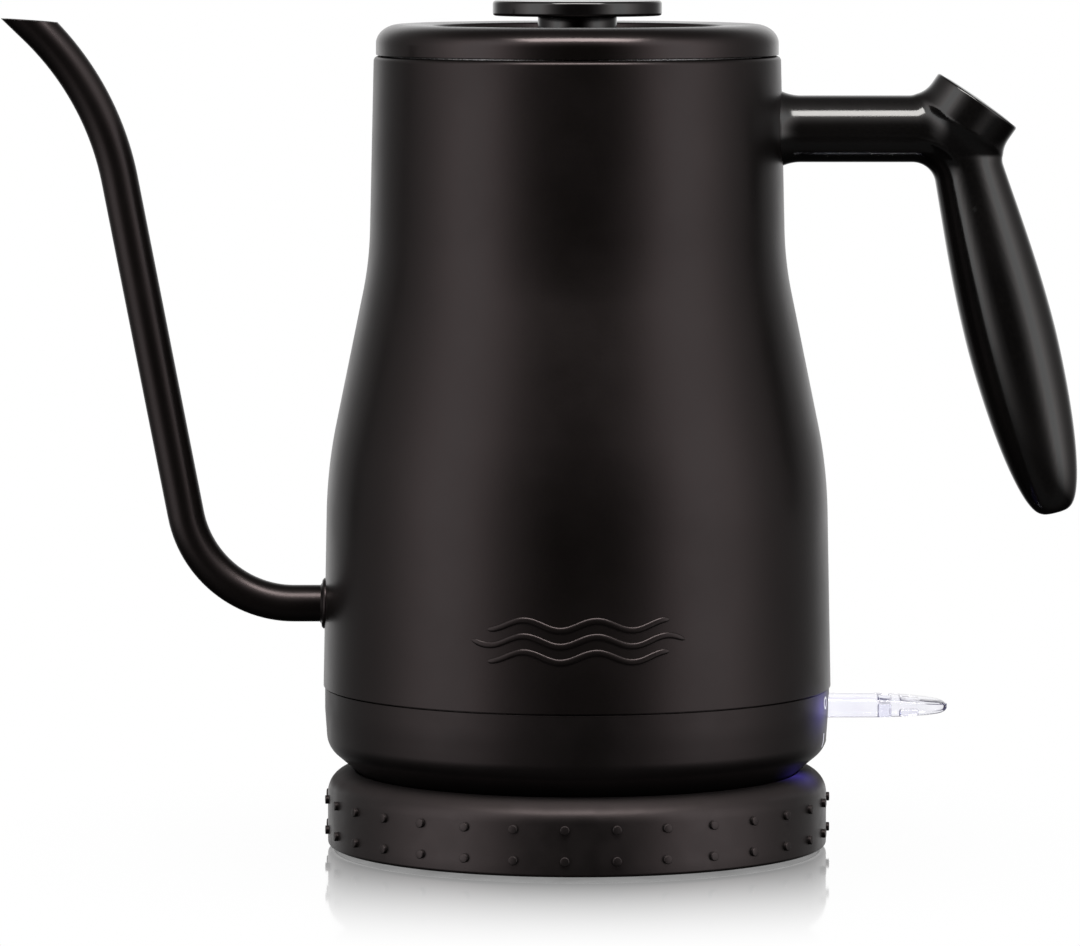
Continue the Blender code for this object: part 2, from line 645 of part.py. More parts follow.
def spout_route():
    """Centreline of the spout from inside the wall to just past its tip."""
    rise = (-math.sin(SPOUT_LEAN), math.cos(SPOUT_LEAN))
    tip = (-math.sin(SPOUT_TIP_LEAN), math.cos(SPOUT_TIP_LEAN))
    route = [((-SHELL_RADIUS + 0.0027, SPOUT_Z), (-1.0, 0.0))]
    route += bend((SPOUT_CORNER_X, SPOUT_Z), (-1.0, 0.0), rise, SPOUT_LOWER_BEND, 6)
    tangent = SPOUT_UPPER_BEND * math.tan((SPOUT_TIP_LEAN - SPOUT_LEAN) / 2)
    corner_z = SPOUT_UPPER_BEND_Z + tangent * math.cos(SPOUT_LEAN)
    corner_x = SPOUT_CORNER_X - (corner_z - SPOUT_Z) * math.tan(SPOUT_LEAN)
    route += bend((corner_x, corner_z), rise, tip, SPOUT_UPPER_BEND, 4)
    (x, z), heading = route[-1]
    past = 0.0120
    route.append(((x + past * heading[0], z + past * heading[1]), heading))
    return route


def build_spout(holder, finishes):
    """Gooseneck tube, cut almost level at its tip, with its collar and strainer."""
    route = spout_route()
    stations = [(point, heading, SPOUT_RADIUS) for point, heading in route]
    stations += [(point, heading, SPOUT_RADIUS - SPOUT_WALL) for point, heading in reversed(route)]
    tube = solid("spout_tube", swept_bmesh(stations, SMALL, hollow=True), finishes["black_paint"], holder)
    (end_x, end_z), _ = route[-2]
    trim = box("spout_trim", (-0.030, -0.012, 0.0), (0.030, 0.012, 0.030), None, holder)
    trim.location = (end_x, 0, SPOUT_TIP_Z)
    trim.rotation_euler = (0, SPOUT_CUT_TILT, 0)
    cut(tube, trim)
    face = SHELL_RADIUS + 0.0006
    collar = turned("spout_flange", tube_corners(SPOUT_RADIUS + HOLE_GAP, 0.0069, 0.0660, face), MEDIUM,
                    finishes["black_paint"], holder, location=(0, 0, SPOUT_Z), rotation=(0, -math.pi / 2, 0))
    cut(collar, turned("wall_at_spout", rod_corners(SHELL_RADIUS + 0.0001, 0.0500, 0.0850), LARGE, None, holder))
    mesh_back = 0.0640
    skirt = [(0, mesh_back), (0.0085, mesh_back), (0.0085, 0.0664), (0.0079, 0.0664),
             (0.0079, mesh_back + 0.0006), (0, mesh_back + 0.0006)]
    strainer = turned("spout_strainer", skirt, MEDIUM, finishes["steel"], holder,
                      location=(0, 0, SPOUT_Z), rotation=(0, -math.pi / 2, 0))
    spots = [(0, 0)] + [around(0.0045, degrees) for degrees in range(0, 360, 60)]
    holes = rods("strainer_holes", [(x, y, 0.0011, 0.0600, 0.0655) for x, y in spots], holder, 6)
    holes.location = (0, 0, SPOUT_Z)
    holes.rotation_euler = (0, -math.pi / 2, 0)
    cut(strainer, holes)


# ---------------------------------------------------------------- handle

def arm_stations():
    """The straight arm, flared where it meets the wall."""
    stations = []
    for x in (0.0530, 0.0563, 0.0580, 0.0615):
        fade = max(0.0, 1.0 - (x - 0.0563) / 0.0052)
        radius = ARM_RADIUS + ARM_FLARE * min(1.0, fade) ** 2
        stations.append(((x, ARM_Z), (1.0, 0.0), radius))
    return stations


def grip_radius(distance):
    """Radius of the grip at a distance from the corner: it swells, tapers, then closes in a blunt end."""
    if distance < GRIP_WIDEST:
        share = max(0.0, distance - GRIP_START) / (GRIP_WIDEST - GRIP_START)
        return ARM_RADIUS + GRIP_SWELL * math.sin(math.pi / 2 * share) ** GRIP_RISE_POWER
    share = (distance - GRIP_WIDEST) / (GRIP_LENGTH - GRIP_WIDEST)
    taper = 1.0 - GRIP_TAPER * share ** GRIP_TAPER_POWER
    return (ARM_RADIUS + GRIP_SWELL) * taper * (1.0 - share ** GRIP_END_POWER) ** (1.0 / GRIP_END_POWER)


def grip_stations(down):
    """The grip below the corner, with its stations closer together towards the end."""
    distances = [0.0140 + (GRIP_WIDEST - 0.0140) * step / 4 for step in range(4)]
    tail = GRIP_LENGTH - GRIP_WIDEST
    distances += [GRIP_WIDEST + tail * math.sin(math.radians(angle)) for angle in (0, 25, 45, 60, 72, 84)]
    stations = []
    for distance in distances:
        centre = (HANDLE_CORNER_X + distance * down[0], ARM_Z + distance * down[1])
        stations.append((centre, down, grip_radius(distance)))
    return stations


def build_handle(holder, finishes):
    """One moulding with the arm, the grip and the thumb stub, and its cap and fixings."""
    down = (math.sin(GRIP_LEAN), -math.cos(GRIP_LEAN))
    stations = arm_stations()
    corner = (HANDLE_CORNER_X, ARM_Z)
    stations += [(point, heading, ARM_RADIUS) for point, heading in bend(corner, (1.0, 0.0), down, HANDLE_BEND, 5)]
    stations += grip_stations(down)
    handle = solid("handle", swept_bmesh(stations, SMALL + 2), finishes["gloss_black"], holder)
    tilt = (0, math.pi / 2 - STUB_TILT, 0)
    at_corner = (HANDLE_CORNER_X, 0, ARM_Z)
    stub = [(0, -0.0055), (0.0086, -0.0055), (STUB_RADIUS, 0.0012), (STUB_RADIUS, STUB_LENGTH - 0.0007),
            (STUB_RADIUS - 0.0007, STUB_LENGTH), (0, STUB_LENGTH)]
    join(handle, turned("stub_tool", stub, MEDIUM, None, holder, location=at_corner, rotation=tilt))
    recess = rod_corners(STUB_RADIUS - STUB_RIM, STUB_LENGTH - 0.0020, STUB_LENGTH + 0.002)
    cut(handle, turned("cap_recess", recess, MEDIUM, None, holder, location=at_corner, rotation=tilt))
    cap_radius = STUB_RADIUS - STUB_RIM - GAP
    cap = [(0, STUB_LENGTH - 0.0017), (cap_radius, STUB_LENGTH - 0.0017), (cap_radius, STUB_LENGTH - 0.0001),
           (cap_radius - 0.0005, STUB_LENGTH + 0.0004), (0, STUB_LENGTH + 0.0006)]
    turned("handle_cap", cap, MEDIUM, finishes["gloss_black"], holder, location=at_corner, rotation=tilt)
    cut(handle, turned("wall_at_handle", rod_corners(0.0561, 0.1700, 0.2200), LARGE, None, holder))
    cut(handle, turned("stud_bore", rod_corners(0.0058, 0.0500, 0.0690), SMALL, None, holder,
                       location=(0, 0, ARM_Z), rotation=(0, math.pi / 2, 0)))
    build_handle_fixings(holder, finishes)


def build_handle_fixings(holder, finishes):
    """Stud outside the wall inside the arm's root, and the screw and seal inside the vessel."""
    along = (0, math.pi / 2, 0)
    at_arm = (0, 0, ARM_Z)
    stud = [(0, 0.0680), (0.0055, 0.0680), (0.0055, 0.0560), (0.0019, 0.0560), (0.0019, 0.0655), (0, 0.0655)]
    turned("handle_stud", stud, SMALL, finishes["steel"], holder, location=at_arm, rotation=along)
    turned("handle_screw_seal", tube_corners(0.0019, 0.0045, 0.0532, 0.0540), SMALL, finishes["rubber"], holder,
           location=at_arm, rotation=along)
    screw("handle_screw", None, (0.0516, 0, ARM_Z), 0.0125, 0.0036, 0.0016, finishes["steel"], holder, along)


# ---------------------------------------------------------------- lid

def build_lid(holder, finishes):
    """Dished lid with its inner plug, seal, knob and knob screw."""
    bore = 0.0020
    wall = 0.0010
    inside = LID_RADIUS - 0.0013
    corners = [(bore, DISH_FLOOR_Z), (DISH_RADIUS - 0.0068, DISH_FLOOR_Z), (DISH_RADIUS, LID_CREST_Z - 0.0003, 0.0012)]
    corners += lid_shoulder(5)
    corners += [(LID_RADIUS, LID_EDGE_Z), (inside, LID_EDGE_Z),
               (inside, LID_CREST_Z - wall, 0.0037),
               (DISH_RADIUS + 0.0005, LID_CREST_Z - wall - 0.0002), (DISH_RADIUS - 0.0062, DISH_FLOOR_Z - wall),
               (bore, DISH_FLOOR_Z - wall)]
    turned("lid_shell", corners, LARGE, finishes["black_paint"], holder, steps=2)
    plug_top = DISH_FLOOR_Z - wall - GAP
    corners = [(bore, SKIRT_BOTTOM), (SKIRT_RADIUS - 0.0010, SKIRT_BOTTOM), (SKIRT_RADIUS, SKIRT_BOTTOM + 0.0010),
               (SKIRT_RADIUS, 0.2221), (SKIRT_RADIUS - wall, 0.2221), (SKIRT_RADIUS - wall, SKIRT_BOTTOM + wall),
               (0.0060, SKIRT_BOTTOM + wall), (0.0060, plug_top), (bore, plug_top)]
    turned("lid_plug", corners, LARGE, finishes["steel"], holder)
    seal = [(SKIRT_RADIUS + GAP, 0.2075), (MOUTH_RADIUS - 0.0004, 0.2085), (MOUTH_RADIUS - 0.0004, 0.2092),
            (SKIRT_RADIUS + GAP, 0.2100)]
    turned("lid_seal", seal, LARGE, finishes["rubber"], holder)
    build_knob(bore, holder, finishes)


def lid_shoulder(steps):
    """Points of the lid's rounded shoulder, a quarter of an ellipse from its top to its side."""
    width, drop = LID_SHOULDER
    points = []
    for step in range(steps + 1):
        angle = math.pi / 2 * step / steps
        points.append((LID_RADIUS - width * (1 - math.sin(angle)), LID_CREST_Z - drop * (1 - math.cos(angle))))
    return points


def build_knob(bore, holder, finishes):
    disc_bottom = KNOB_TOP - KNOB_THICKNESS
    stem_top = disc_bottom - GAP
    stem_bottom = DISH_FLOOR_Z + GAP
    stem = [(0, stem_top), (STEM_RADIUS, stem_top), (STEM_RADIUS, stem_bottom), (0.0016, stem_bottom),
            (0.0016, 0.2222), (0, 0.2222)]
    turned("knob_stem", stem, MEDIUM, finishes["gloss_black"], holder)
    disc = [(0, disc_bottom), (KNOB_RADIUS - 0.0010, disc_bottom), (KNOB_RADIUS, disc_bottom + 0.0012),
            (KNOB_RADIUS, KNOB_TOP - 0.0012), (KNOB_RADIUS - 0.0010, KNOB_TOP), (0, KNOB_TOP)]
    turned("knob_disc", disc, LARGE, finishes["gloss_black"], holder)
    head_z = SKIRT_BOTTOM - GAP - 0.0013
    screw("knob_screw", None, (0, 0, head_z), 0.0195, 0.0036, 0.0013, finishes["steel"], holder)


# ---------------------------------------------------------------- switch

def build_switch(holder, finishes):
    """Clear lever: a tongue with a round end and a bore for its pin, drawn about the pin."""
    tip = LEVER_TIP_X - LEVER_PIVOT[0]
    tail = LEVER_TAIL_X - LEVER_PIVOT[0]
    half = LEVER_WIDTH / 2
    end = arc((tip - half, 0), half, -math.pi / 2, math.pi / 2, 8)
    points = [(tail, -half), *end, (tail, half)]
    lever = prism("switch_lever", points, LEVER_THICKNESS, finishes["clear_plastic"], holder,
                  location=(0, 0, -LEVER_THICKNESS / 2), bevel=0.0007)
    cut(lever, turned("lever_bore", rod_corners(0.0018, -0.0120, 0.0120), TINY, None, holder,
                      rotation=(math.pi / 2, 0, 0)))


def build_rocker(holder, finishes):
    """Small bar in the thermostat that the lever's tail tips, drawn about its pin."""
    points = [(-0.0060, -0.0050), (0.0073, -0.0050), (0.0073, 0.0050), (-0.0060, 0.0050)]
    rocker = prism("trip_rocker", points, 0.0040, finishes["white_plastic"], holder, location=(0, 0, -0.0020))
    cut(rocker, turned("rocker_bore", rod_corners(0.0015, -0.0100, 0.0100), TINY, None, holder,
                       rotation=(math.pi / 2, 0, 0)))


# ---------------------------------------------------------------- assembly

def make_finishes():
    return {
        "black_paint": finish("satin_black_paint", (0.016, 0.015, 0.015), 0.38),
        "black_plastic": finish("satin_black_plastic", (0.014, 0.014, 0.015), 0.35),
        "gloss_black": finish("gloss_black_plastic", (0.010, 0.010, 0.010), 0.12),
        "base_plastic": finish("matte_black_plastic", (0.018, 0.018, 0.019), 0.55),
        "rubber": finish("matte_black_rubber", (0.022, 0.022, 0.023), 0.75),
        "steel": finish("brushed_steel", (0.60, 0.60, 0.61), 0.30, 1.0),
        "aluminium": finish("cast_aluminium", (0.70, 0.71, 0.72), 0.45, 1.0),
        "brass": finish("contact_brass", (0.75, 0.58, 0.28), 0.30, 1.0),
        "clear_plastic": finish("clear_plastic", (0.55, 0.70, 0.95), 0.08),
        "white_plastic": finish("white_nylon", (0.80, 0.80, 0.78), 0.50),
        "board": finish("circuit_board", (0.02, 0.16, 0.07), 0.50),
        "lamp": finish("blue_lamp", (0.25, 0.45, 1.00), 0.15),
    }


def main():
    clear_scene()
    finishes = make_finishes()
    base = empty("base_frame", x=AXIS_X)
    plug = empty("plug_axis", parent=base)
    kettle = empty("kettle_frame", parent=plug)
    lid = empty("lid_frame", parent=kettle)
    lever = empty("lever_axis", x=LEVER_PIVOT[0], z=LEVER_PIVOT[1], parent=kettle)
    rocker = empty("rocker_axis", x=ROCKER_PIVOT[0], z=ROCKER_PIVOT[1], parent=kettle)
    build_base(base, finishes)
    build_plug(plug, finishes)
    build_vessel(kettle, finishes)
    build_bottom_cup(kettle, finishes)
    build_heater(kettle, finishes)
    build_controls(kettle, finishes)
    build_lever_mount(kettle, finishes)
    build_steam_tube(kettle, finishes)
    build_spout(kettle, finishes)
    build_handle(kettle, finishes)
    build_lid(lid, finishes)
    build_switch(lever, finishes)
    build_rocker(rocker, finishes)


main()
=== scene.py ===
"""The looks of the gooseneck kettle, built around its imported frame.

Every mesh is drawn in the frame's own coordinates, in metres, with +Z up, the spout towards -X
and the handle towards +X. The turned pieces share the upright axis at x = AXIS. Drawing code
works about that axis, and loose() moves the result onto it.
"""

import json
import math

import bmesh
import bpy
import numpy as np
from mathutils import Matrix, Vector


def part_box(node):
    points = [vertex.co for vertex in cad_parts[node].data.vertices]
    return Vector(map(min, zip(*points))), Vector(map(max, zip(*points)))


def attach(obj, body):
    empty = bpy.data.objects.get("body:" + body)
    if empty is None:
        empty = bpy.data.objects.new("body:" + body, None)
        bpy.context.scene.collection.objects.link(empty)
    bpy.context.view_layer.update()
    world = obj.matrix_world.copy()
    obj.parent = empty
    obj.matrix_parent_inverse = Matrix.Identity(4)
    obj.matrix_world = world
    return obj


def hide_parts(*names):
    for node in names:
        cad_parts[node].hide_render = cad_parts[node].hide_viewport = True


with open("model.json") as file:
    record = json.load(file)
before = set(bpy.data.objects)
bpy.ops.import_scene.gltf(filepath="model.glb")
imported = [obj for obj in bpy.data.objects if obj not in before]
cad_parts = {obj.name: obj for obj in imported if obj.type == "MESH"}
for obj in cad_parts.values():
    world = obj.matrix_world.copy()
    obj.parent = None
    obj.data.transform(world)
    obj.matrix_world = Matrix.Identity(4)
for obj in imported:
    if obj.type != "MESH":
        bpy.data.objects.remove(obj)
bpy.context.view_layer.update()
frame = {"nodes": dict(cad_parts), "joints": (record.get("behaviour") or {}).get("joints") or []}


def low(node):
    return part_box(node)[0]


def high(node):
    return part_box(node)[1]


# Heights and radii that the frame gives
AXIS = (low("vessel_shell").x + high("vessel_shell").x) / 2
SEAM_Z = low("vessel_shell").z
SHELL_TOP = high("vessel_shell").z
SHELL_RADIUS = high("vessel_shell").x - AXIS
CUP_BOTTOM = low("bottom_cup").z
CUP_RADIUS = SHELL_RADIUS - 0.0004
BAND_BOTTOM = low("grip_band").z
BAND_CREST = high("grip_band").z
LID_CREST = high("lid_shell").z
LID_EDGE = SHELL_TOP + 0.0003
KNOB_TOP = high("knob_disc").z
KNOB_RADIUS = high("knob_disc").x - AXIS
LEVER_LOW = low("switch_lever")
LEVER_HIGH = high("switch_lever")

# Sides of turned and swept pieces
LARGE = 192
MEDIUM = 96
SMALL = 48
TINY = 24

# Body outline
SHELL_WALL = 0.0009
BELLY_CORNER = (0.0679, 0.1037, 0.133)
NECK_CORNER = (0.0564, 0.1598, 0.096)
TOP_RADIUS = 0.0551
MOUTH_RADIUS = 0.0515

# Base outline
BAND_RADIUS = 0.0680
BAND_WALL = 0.0016
SHOULDER_RADIUS = 0.0063
LIP_RADIUS = 0.0604
DECK_Z = 0.0155
STUDS_PER_ROW = 31
STUD_ROWS_Z = (0.0051, 0.0134)
STUD_RADIUS = 0.0012
STUD_HEIGHT = 0.0009
STUD_PHASE = math.radians(-3.0)
CORD_HOLE_RADIUS = 0.0036
CORD_HOLE_Z = 0.0072

# Spout route
SPOUT_RADIUS = 0.0050
SPOUT_WALL = 0.0007
SPOUT_Z = 0.0664
SPOUT_LEAN = math.radians(10.9)
SPOUT_TIP_LEAN = math.radians(46.0)
SPOUT_CORNER_X = -0.1018
SPOUT_LOWER_BEND = 0.0299
SPOUT_UPPER_BEND = 0.0780
SPOUT_UPPER_BEND_Z = 0.1818
SPOUT_TIP_Z = 0.2248
SPOUT_CUT_TILT = math.radians(4.0)

# Handle
ARM_Z = 0.1956
ARM_RADIUS = 0.00905
ARM_FLARE = 0.0011
ARM_ROOT = 0.0554
HANDLE_CORNER_X = 0.1031
HANDLE_BEND = 0.0160
GRIP_LEAN = math.radians(14.6)
GRIP_START = 0.0060
GRIP_WIDEST = 0.0586
GRIP_LENGTH = 0.1079
GRIP_SWELL = 0.0032
GRIP_RISE_POWER = 1.2
GRIP_TAPER = 0.30
GRIP_TAPER_POWER = 1.6
GRIP_END_POWER = 4.0
STUB_RADIUS = 0.0129
STUB_RIM = 0.0013
STUB_LENGTH = 0.0094
STUB_TILT = math.radians(55.1)
STUB_BLEND = 0.0040
HANDLE_VOXEL = 0.0006

# Lid
LID_RADIUS = 0.0545
DISH_RADIUS = 0.0393
LID_SHOULDER = (0.0065, 0.0052)
DISH_FLOOR = 0.2135
SKIRT_RADIUS = 0.0500
STEM_RADIUS = 0.0107

SHARP_ANGLE = math.radians(34.0)
WARM = (1.0, 0.84, 0.85, 1.0)


# ---- camera, floor and light

def look(obj, place, aim):
    """Put a camera or a lamp in the scene, turned towards a point."""
    obj.location = place
    obj.rotation_mode = "QUATERNION"
    obj.rotation_quaternion = (aim - place).to_track_quat("-Z", "Y")
    bpy.context.scene.collection.objects.link(obj)


def make_camera():
    """A long lens from a little above, square to the spout and the handle."""
    data = bpy.data.cameras.new("camera")
    data.lens = 227.5
    data.sensor_width = 36.0
    data.clip_start = 0.05
    data.clip_end = 20.0
    camera = bpy.data.objects.new("camera", data)
    place = Vector((AXIS - 0.0101, -1.850, 0.262))
    aim = Vector((place.x, 0.0, 0.102))
    look(camera, place, aim)
    bpy.context.scene.camera = camera


class Graph:
    """Short calls that build a node tree; where is the spot being shaded."""

    def __init__(self, tree, coordinates="Object"):
        self.tree = tree
        self.where = self.node("TexCoord").outputs[coordinates]

    def node(self, kind, feeds=None, **settings):
        """A new node, with its inputs fed."""
        made = self.tree.nodes.new("ShaderNode" + kind)
        for name, value in settings.items():
            setattr(made, name, value)
        for socket, value in (feeds or {}).items():
            self.feed(value, made.inputs[socket])
        return made

    def feed(self, value, socket):
        """Link an output to a socket, or set the socket to a plain value."""
        if isinstance(value, bpy.types.NodeSocket):
            self.tree.links.new(value, socket)
        else:
            socket.default_value = value

    def maths(self, operation, first, second):
        return self.node("Math", {0: first, 1: second}, operation=operation).outputs[0]

    def vector(self, operation, first, second=(0.0, 0.0, 0.0)):
        return self.node("VectorMath", {0: first, 1: second}, operation=operation).outputs

    def ranged(self, value, start, end, low_value=0.0, high_value=1.0, smooth=True):
        """Map start..end onto low_value..high_value, held at both ends."""
        feeds = {"Value": value, "From Min": start, "From Max": end}
        feeds.update({"To Min": low_value, "To Max": high_value})
        kind = "SMOOTHSTEP" if smooth else "LINEAR"
        return self.node("MapRange", feeds, interpolation_type=kind).outputs["Result"]

    def mixed(self, factor, first, second):
        return self.node("Mix", {0: factor, 6: rgba(first), 7: rgba(second)}, data_type="RGBA").outputs[2]

    def noise(self, size, detail=2.0, stretch=(1.0, 1.0, 1.0), roughness=0.5):
        """Noise about size metres across, drawn out along an axis by stretch."""
        scale = [1.0 / (size * along) for along in stretch]
        mapping = self.node("Mapping", {"Vector": self.where, "Scale": scale})
        feeds = {"Vector": mapping.outputs[0], "Scale": 1.0, "Detail": detail, "Roughness": roughness}
        return self.node("TexNoise", feeds).outputs["Fac"]

    def distance(self, point, squeeze=(1.0, 1.0, 1.0)):
        """Distance from a point, with each axis weighed by squeeze."""
        scaled = self.vector("MULTIPLY", self.vector("SUBTRACT", self.where, point)[0], squeeze)[0]
        return self.vector("LENGTH", scaled)["Value"]


def rgba(value):
    return value if isinstance(value, bpy.types.NodeSocket) else (*value, 1.0)


def make_world():
    """White behind everything, and soft studio walls for the surfaces to reflect.

    The walls are dim in front and bright to both sides, and fade out upwards and downwards.
    """
    world = bpy.data.worlds.new("studio")
    world.use_nodes = True
    world.node_tree.nodes.clear()
    graph = Graph(world.node_tree, "Generated")
    split = graph.node("SeparateXYZ", {0: graph.where})
    ramp = graph.node("ValToRGB", {0: graph.ranged(split.outputs["Y"], -1.0, 1.0, smooth=False)})
    ramp.color_ramp.interpolation = "B_SPLINE"
    stops = [(0, 0.0), (22, 0.01), (37, 0.30), (50, 1.10), (63, 1.30), (79, 0.72), (95, 0.26),
             (115, 0.12), (140, 0.12), (156, 0.55), (180, 0.62)]
    elements = ramp.color_ramp.elements
    while len(elements) < len(stops):
        elements.new(0.5)
    for element, (turn, level) in zip(elements, stops):
        element.position = (1.0 - math.cos(math.radians(turn))) / 2
        warmth = 1.0 if turn < 130 else 0.0
        element.color = (level, level * (1 - 0.05 * warmth), level * (1 - 0.06 * warmth), 1.0)
    below = graph.ranged(split.outputs["Z"], -0.50, -0.10, 0.04, 1.0)
    above = graph.ranged(split.outputs["Z"], 0.50, 0.90, 1.0, 0.30)
    strength = graph.maths("MULTIPLY", graph.maths("MULTIPLY", below, above), 1.62)
    walls = graph.node("Background", {"Color": ramp.outputs["Color"], "Strength": strength})
    white = graph.node("Background", {"Color": (1.0, 1.0, 1.0, 1.0)})
    path = graph.node("LightPath")
    seen = graph.maths("MAXIMUM", path.outputs["Is Camera Ray"], path.outputs["Is Transmission Ray"])
    chosen = graph.node("MixShader", {0: seen, 1: walls.outputs[0], 2: white.outputs[0]})
    graph.node("OutputWorld", {"Surface": chosen.outputs[0]})
    bpy.context.scene.world = world
    bpy.context.scene.view_settings.view_transform = "Standard"


def make_lamp():
    """A wide softbox high in front, unseen by the camera."""
    width, height, radiance = 1.4, 0.50, 12.5
    place, aim = Vector((AXIS + 0.02, -0.78, 1.40)), Vector((AXIS + 0.02, 0.0, 0.15))
    data = bpy.data.lights.new("top_softbox", "AREA")
    data.shape = "RECTANGLE"
    data.size = width
    data.size_y = height
    data.energy = radiance * math.pi * width * height
    data.color = (1.0, 0.97, 0.94)
    lamp = bpy.data.objects.new("top_softbox", data)
    lamp.visible_camera = False
    look(lamp, place, aim)


def make_floor():
    """A white table top that mirrors the base close by and is plain further out."""
    bm = bmesh.new()
    bmesh.ops.create_circle(bm, cap_ends=True, segments=MEDIUM, radius=0.45)
    mesh = bpy.data.meshes.new("floor")
    bm.to_mesh(mesh)
    bm.free()
    floor = bpy.data.objects.new("floor", mesh)
    floor.location = (AXIS, 0.0, 0.0)
    floor.visible_glossy = False
    floor.visible_diffuse = False
    floor.visible_shadow = False
    bpy.context.scene.collection.objects.link(floor)
    material = bpy.data.materials.new("white_table")
    material.use_nodes = True
    material.node_tree.nodes.clear()
    graph = Graph(material.node_tree)
    away = graph.distance((0.0, 0.0, 0.0))
    near = graph.ranged(away, 0.192, 0.066, smooth=False)
    mirror = graph.maths("MULTIPLY", graph.maths("POWER", near, 1.8), 0.80)
    glow = graph.node("Emission", {"Color": (1.0, 1.0, 1.0, 1.0)})
    gloss = graph.node("BsdfGlossy", {"Color": (1.0, 1.0, 1.0, 1.0), "Roughness": 0.06})
    both = graph.node("MixShader", {0: mirror, 1: glow.outputs[0], 2: gloss.outputs[0]})
    graph.node("OutputMaterial", {"Surface": both.outputs[0]})
    mesh.materials.append(material)


# ---- materials

class Surface(Graph):
    """A Principled material whose colour, roughness and height come from noise."""

    def __init__(self, name, metallic=0.0, fixed=None):
        self.material = bpy.data.materials.new(name)
        self.material.use_nodes = True
        super().__init__(self.material.node_tree)
        self.shader = self.tree.nodes["Principled BSDF"]
        self.shader.inputs["Metallic"].default_value = metallic
        for socket, value in (fixed or {}).items():
            self.shader.inputs[socket].default_value = value

    def colour(self, value):
        self.feed(rgba(value), self.shader.inputs["Base Color"])

    def roughness(self, value):
        self.feed(value, self.shader.inputs["Roughness"])

    def smears(self, size, detail, smooth, rough):
        """A roughness that drifts between two values."""
        return self.ranged(self.noise(size, detail), 0.3, 0.7, smooth, rough)

    def grain(self, size, detail, depth):
        self.height(self.noise(size, detail), depth)

    def painted_halo(self, point, squeeze, reach, power, colour, strength):
        """Painted light: an emission that is strongest at a point and fades out at reach."""
        near = self.ranged(self.distance(point, squeeze), reach, 0.001, smooth=False)
        self.glow(self.maths("POWER", near, power), colour, strength)

    def height(self, value, depth):
        """Raise the surface by up to depth metres; calls add up."""
        bump = self.node("Bump", {"Strength": 1.0, "Distance": depth, "Height": value})
        socket = self.shader.inputs["Normal"]
        if socket.is_linked:
            self.feed(socket.links[0].from_socket, bump.inputs["Normal"])
        self.feed(bump.outputs["Normal"], socket)

    def edges(self, start=0.53, end=0.62, size=0.004):
        """How exposed a spot is: high on outside edges, broken up by noise."""
        worn = self.ranged(self.node("NewGeometry").outputs["Pointiness"], start, end)
        return self.maths("MULTIPLY", worn, self.ranged(self.noise(size, 4.0), 0.35, 0.7))

    def glow(self, falloff, colour, strength):
        self.feed(rgba(colour), self.shader.inputs["Emission Color"])
        self.feed(self.maths("MULTIPLY", falloff, strength), self.shader.inputs["Emission Strength"])


def coloured(surface, dark, light, size, grain_size, grain_share=0.35):
    """A base colour that drifts between two tones, with a finer grain on top."""
    drift = surface.noise(size, 3.0)
    grain = surface.noise(grain_size, 2.0)
    blend = surface.maths("ADD", surface.maths("MULTIPLY", drift, 1.0 - grain_share),
                          surface.maths("MULTIPLY", grain, grain_share))
    return surface.mixed(surface.ranged(blend, 0.36, 0.64), dark, light)


def satin_paint(name, smooth, rough, level):
    """Baked powder coat: an even satin with a very fine orange peel."""
    s = Surface(name, fixed={"Specular IOR Level": level, "Specular Tint": WARM})
    worn = s.edges()
    base = coloured(s, (0.0018, 0.0015, 0.0014), (0.0032, 0.0027, 0.0025), 0.045, 0.0006)
    s.colour(s.mixed(worn, base, (0.009, 0.0080, 0.0074)))
    streak = s.smears(0.020, 3.0, smooth, rough)
    s.roughness(s.maths("SUBTRACT", streak, s.maths("MULTIPLY", worn, 0.10)))
    s.grain(0.0011, 2.0, 0.000010)
    s.grain(0.00035, 2.0, 0.000006)
    return s.material


def cup_plastic(painted_glow_at):
    """Moulded black plastic, with a painted blue glow near the lever where its lamp's light would fall."""
    s = Surface("satin_black_plastic", fixed={"Specular IOR Level": 0.36, "Specular Tint": WARM})
    worn = s.edges()
    base = coloured(s, (0.0018, 0.0016, 0.0016), (0.0030, 0.0027, 0.0026), 0.030, 0.0008)
    s.colour(s.mixed(worn, base, (0.015, 0.014, 0.014)))
    s.roughness(s.smears(0.012, 4.0, 0.33, 0.39))
    s.grain(0.0005, 3.0, 0.000006)
    # painted light: a blue glow on the cup around the lever slot
    s.painted_halo(painted_glow_at, (1.0, 0.8, 1.1), 0.016, 3.2, (0.20, 0.15, 1.0), 0.19)
    return s.material


def gloss_plastic():
    """Polished black plastic with faint handling marks."""
    s = Surface("gloss_black_plastic", fixed={"Specular IOR Level": 0.62})
    base = coloured(s, (0.0028, 0.0026, 0.0026), (0.0048, 0.0044, 0.0043), 0.030, 0.0009)
    s.colour(s.mixed(s.edges(), base, (0.010, 0.010, 0.010)))
    smear = s.noise(0.009, 5.0, (1.0, 1.0, 2.5))
    fine = s.noise(0.0013, 3.0)
    s.roughness(s.maths("ADD", s.ranged(smear, 0.35, 0.75, 0.10, 0.15), s.maths("MULTIPLY", fine, 0.02)))
    s.grain(0.0035, 2.0, 0.000006)
    s.grain(0.0006, 2.0, 0.000001)
    return s.material


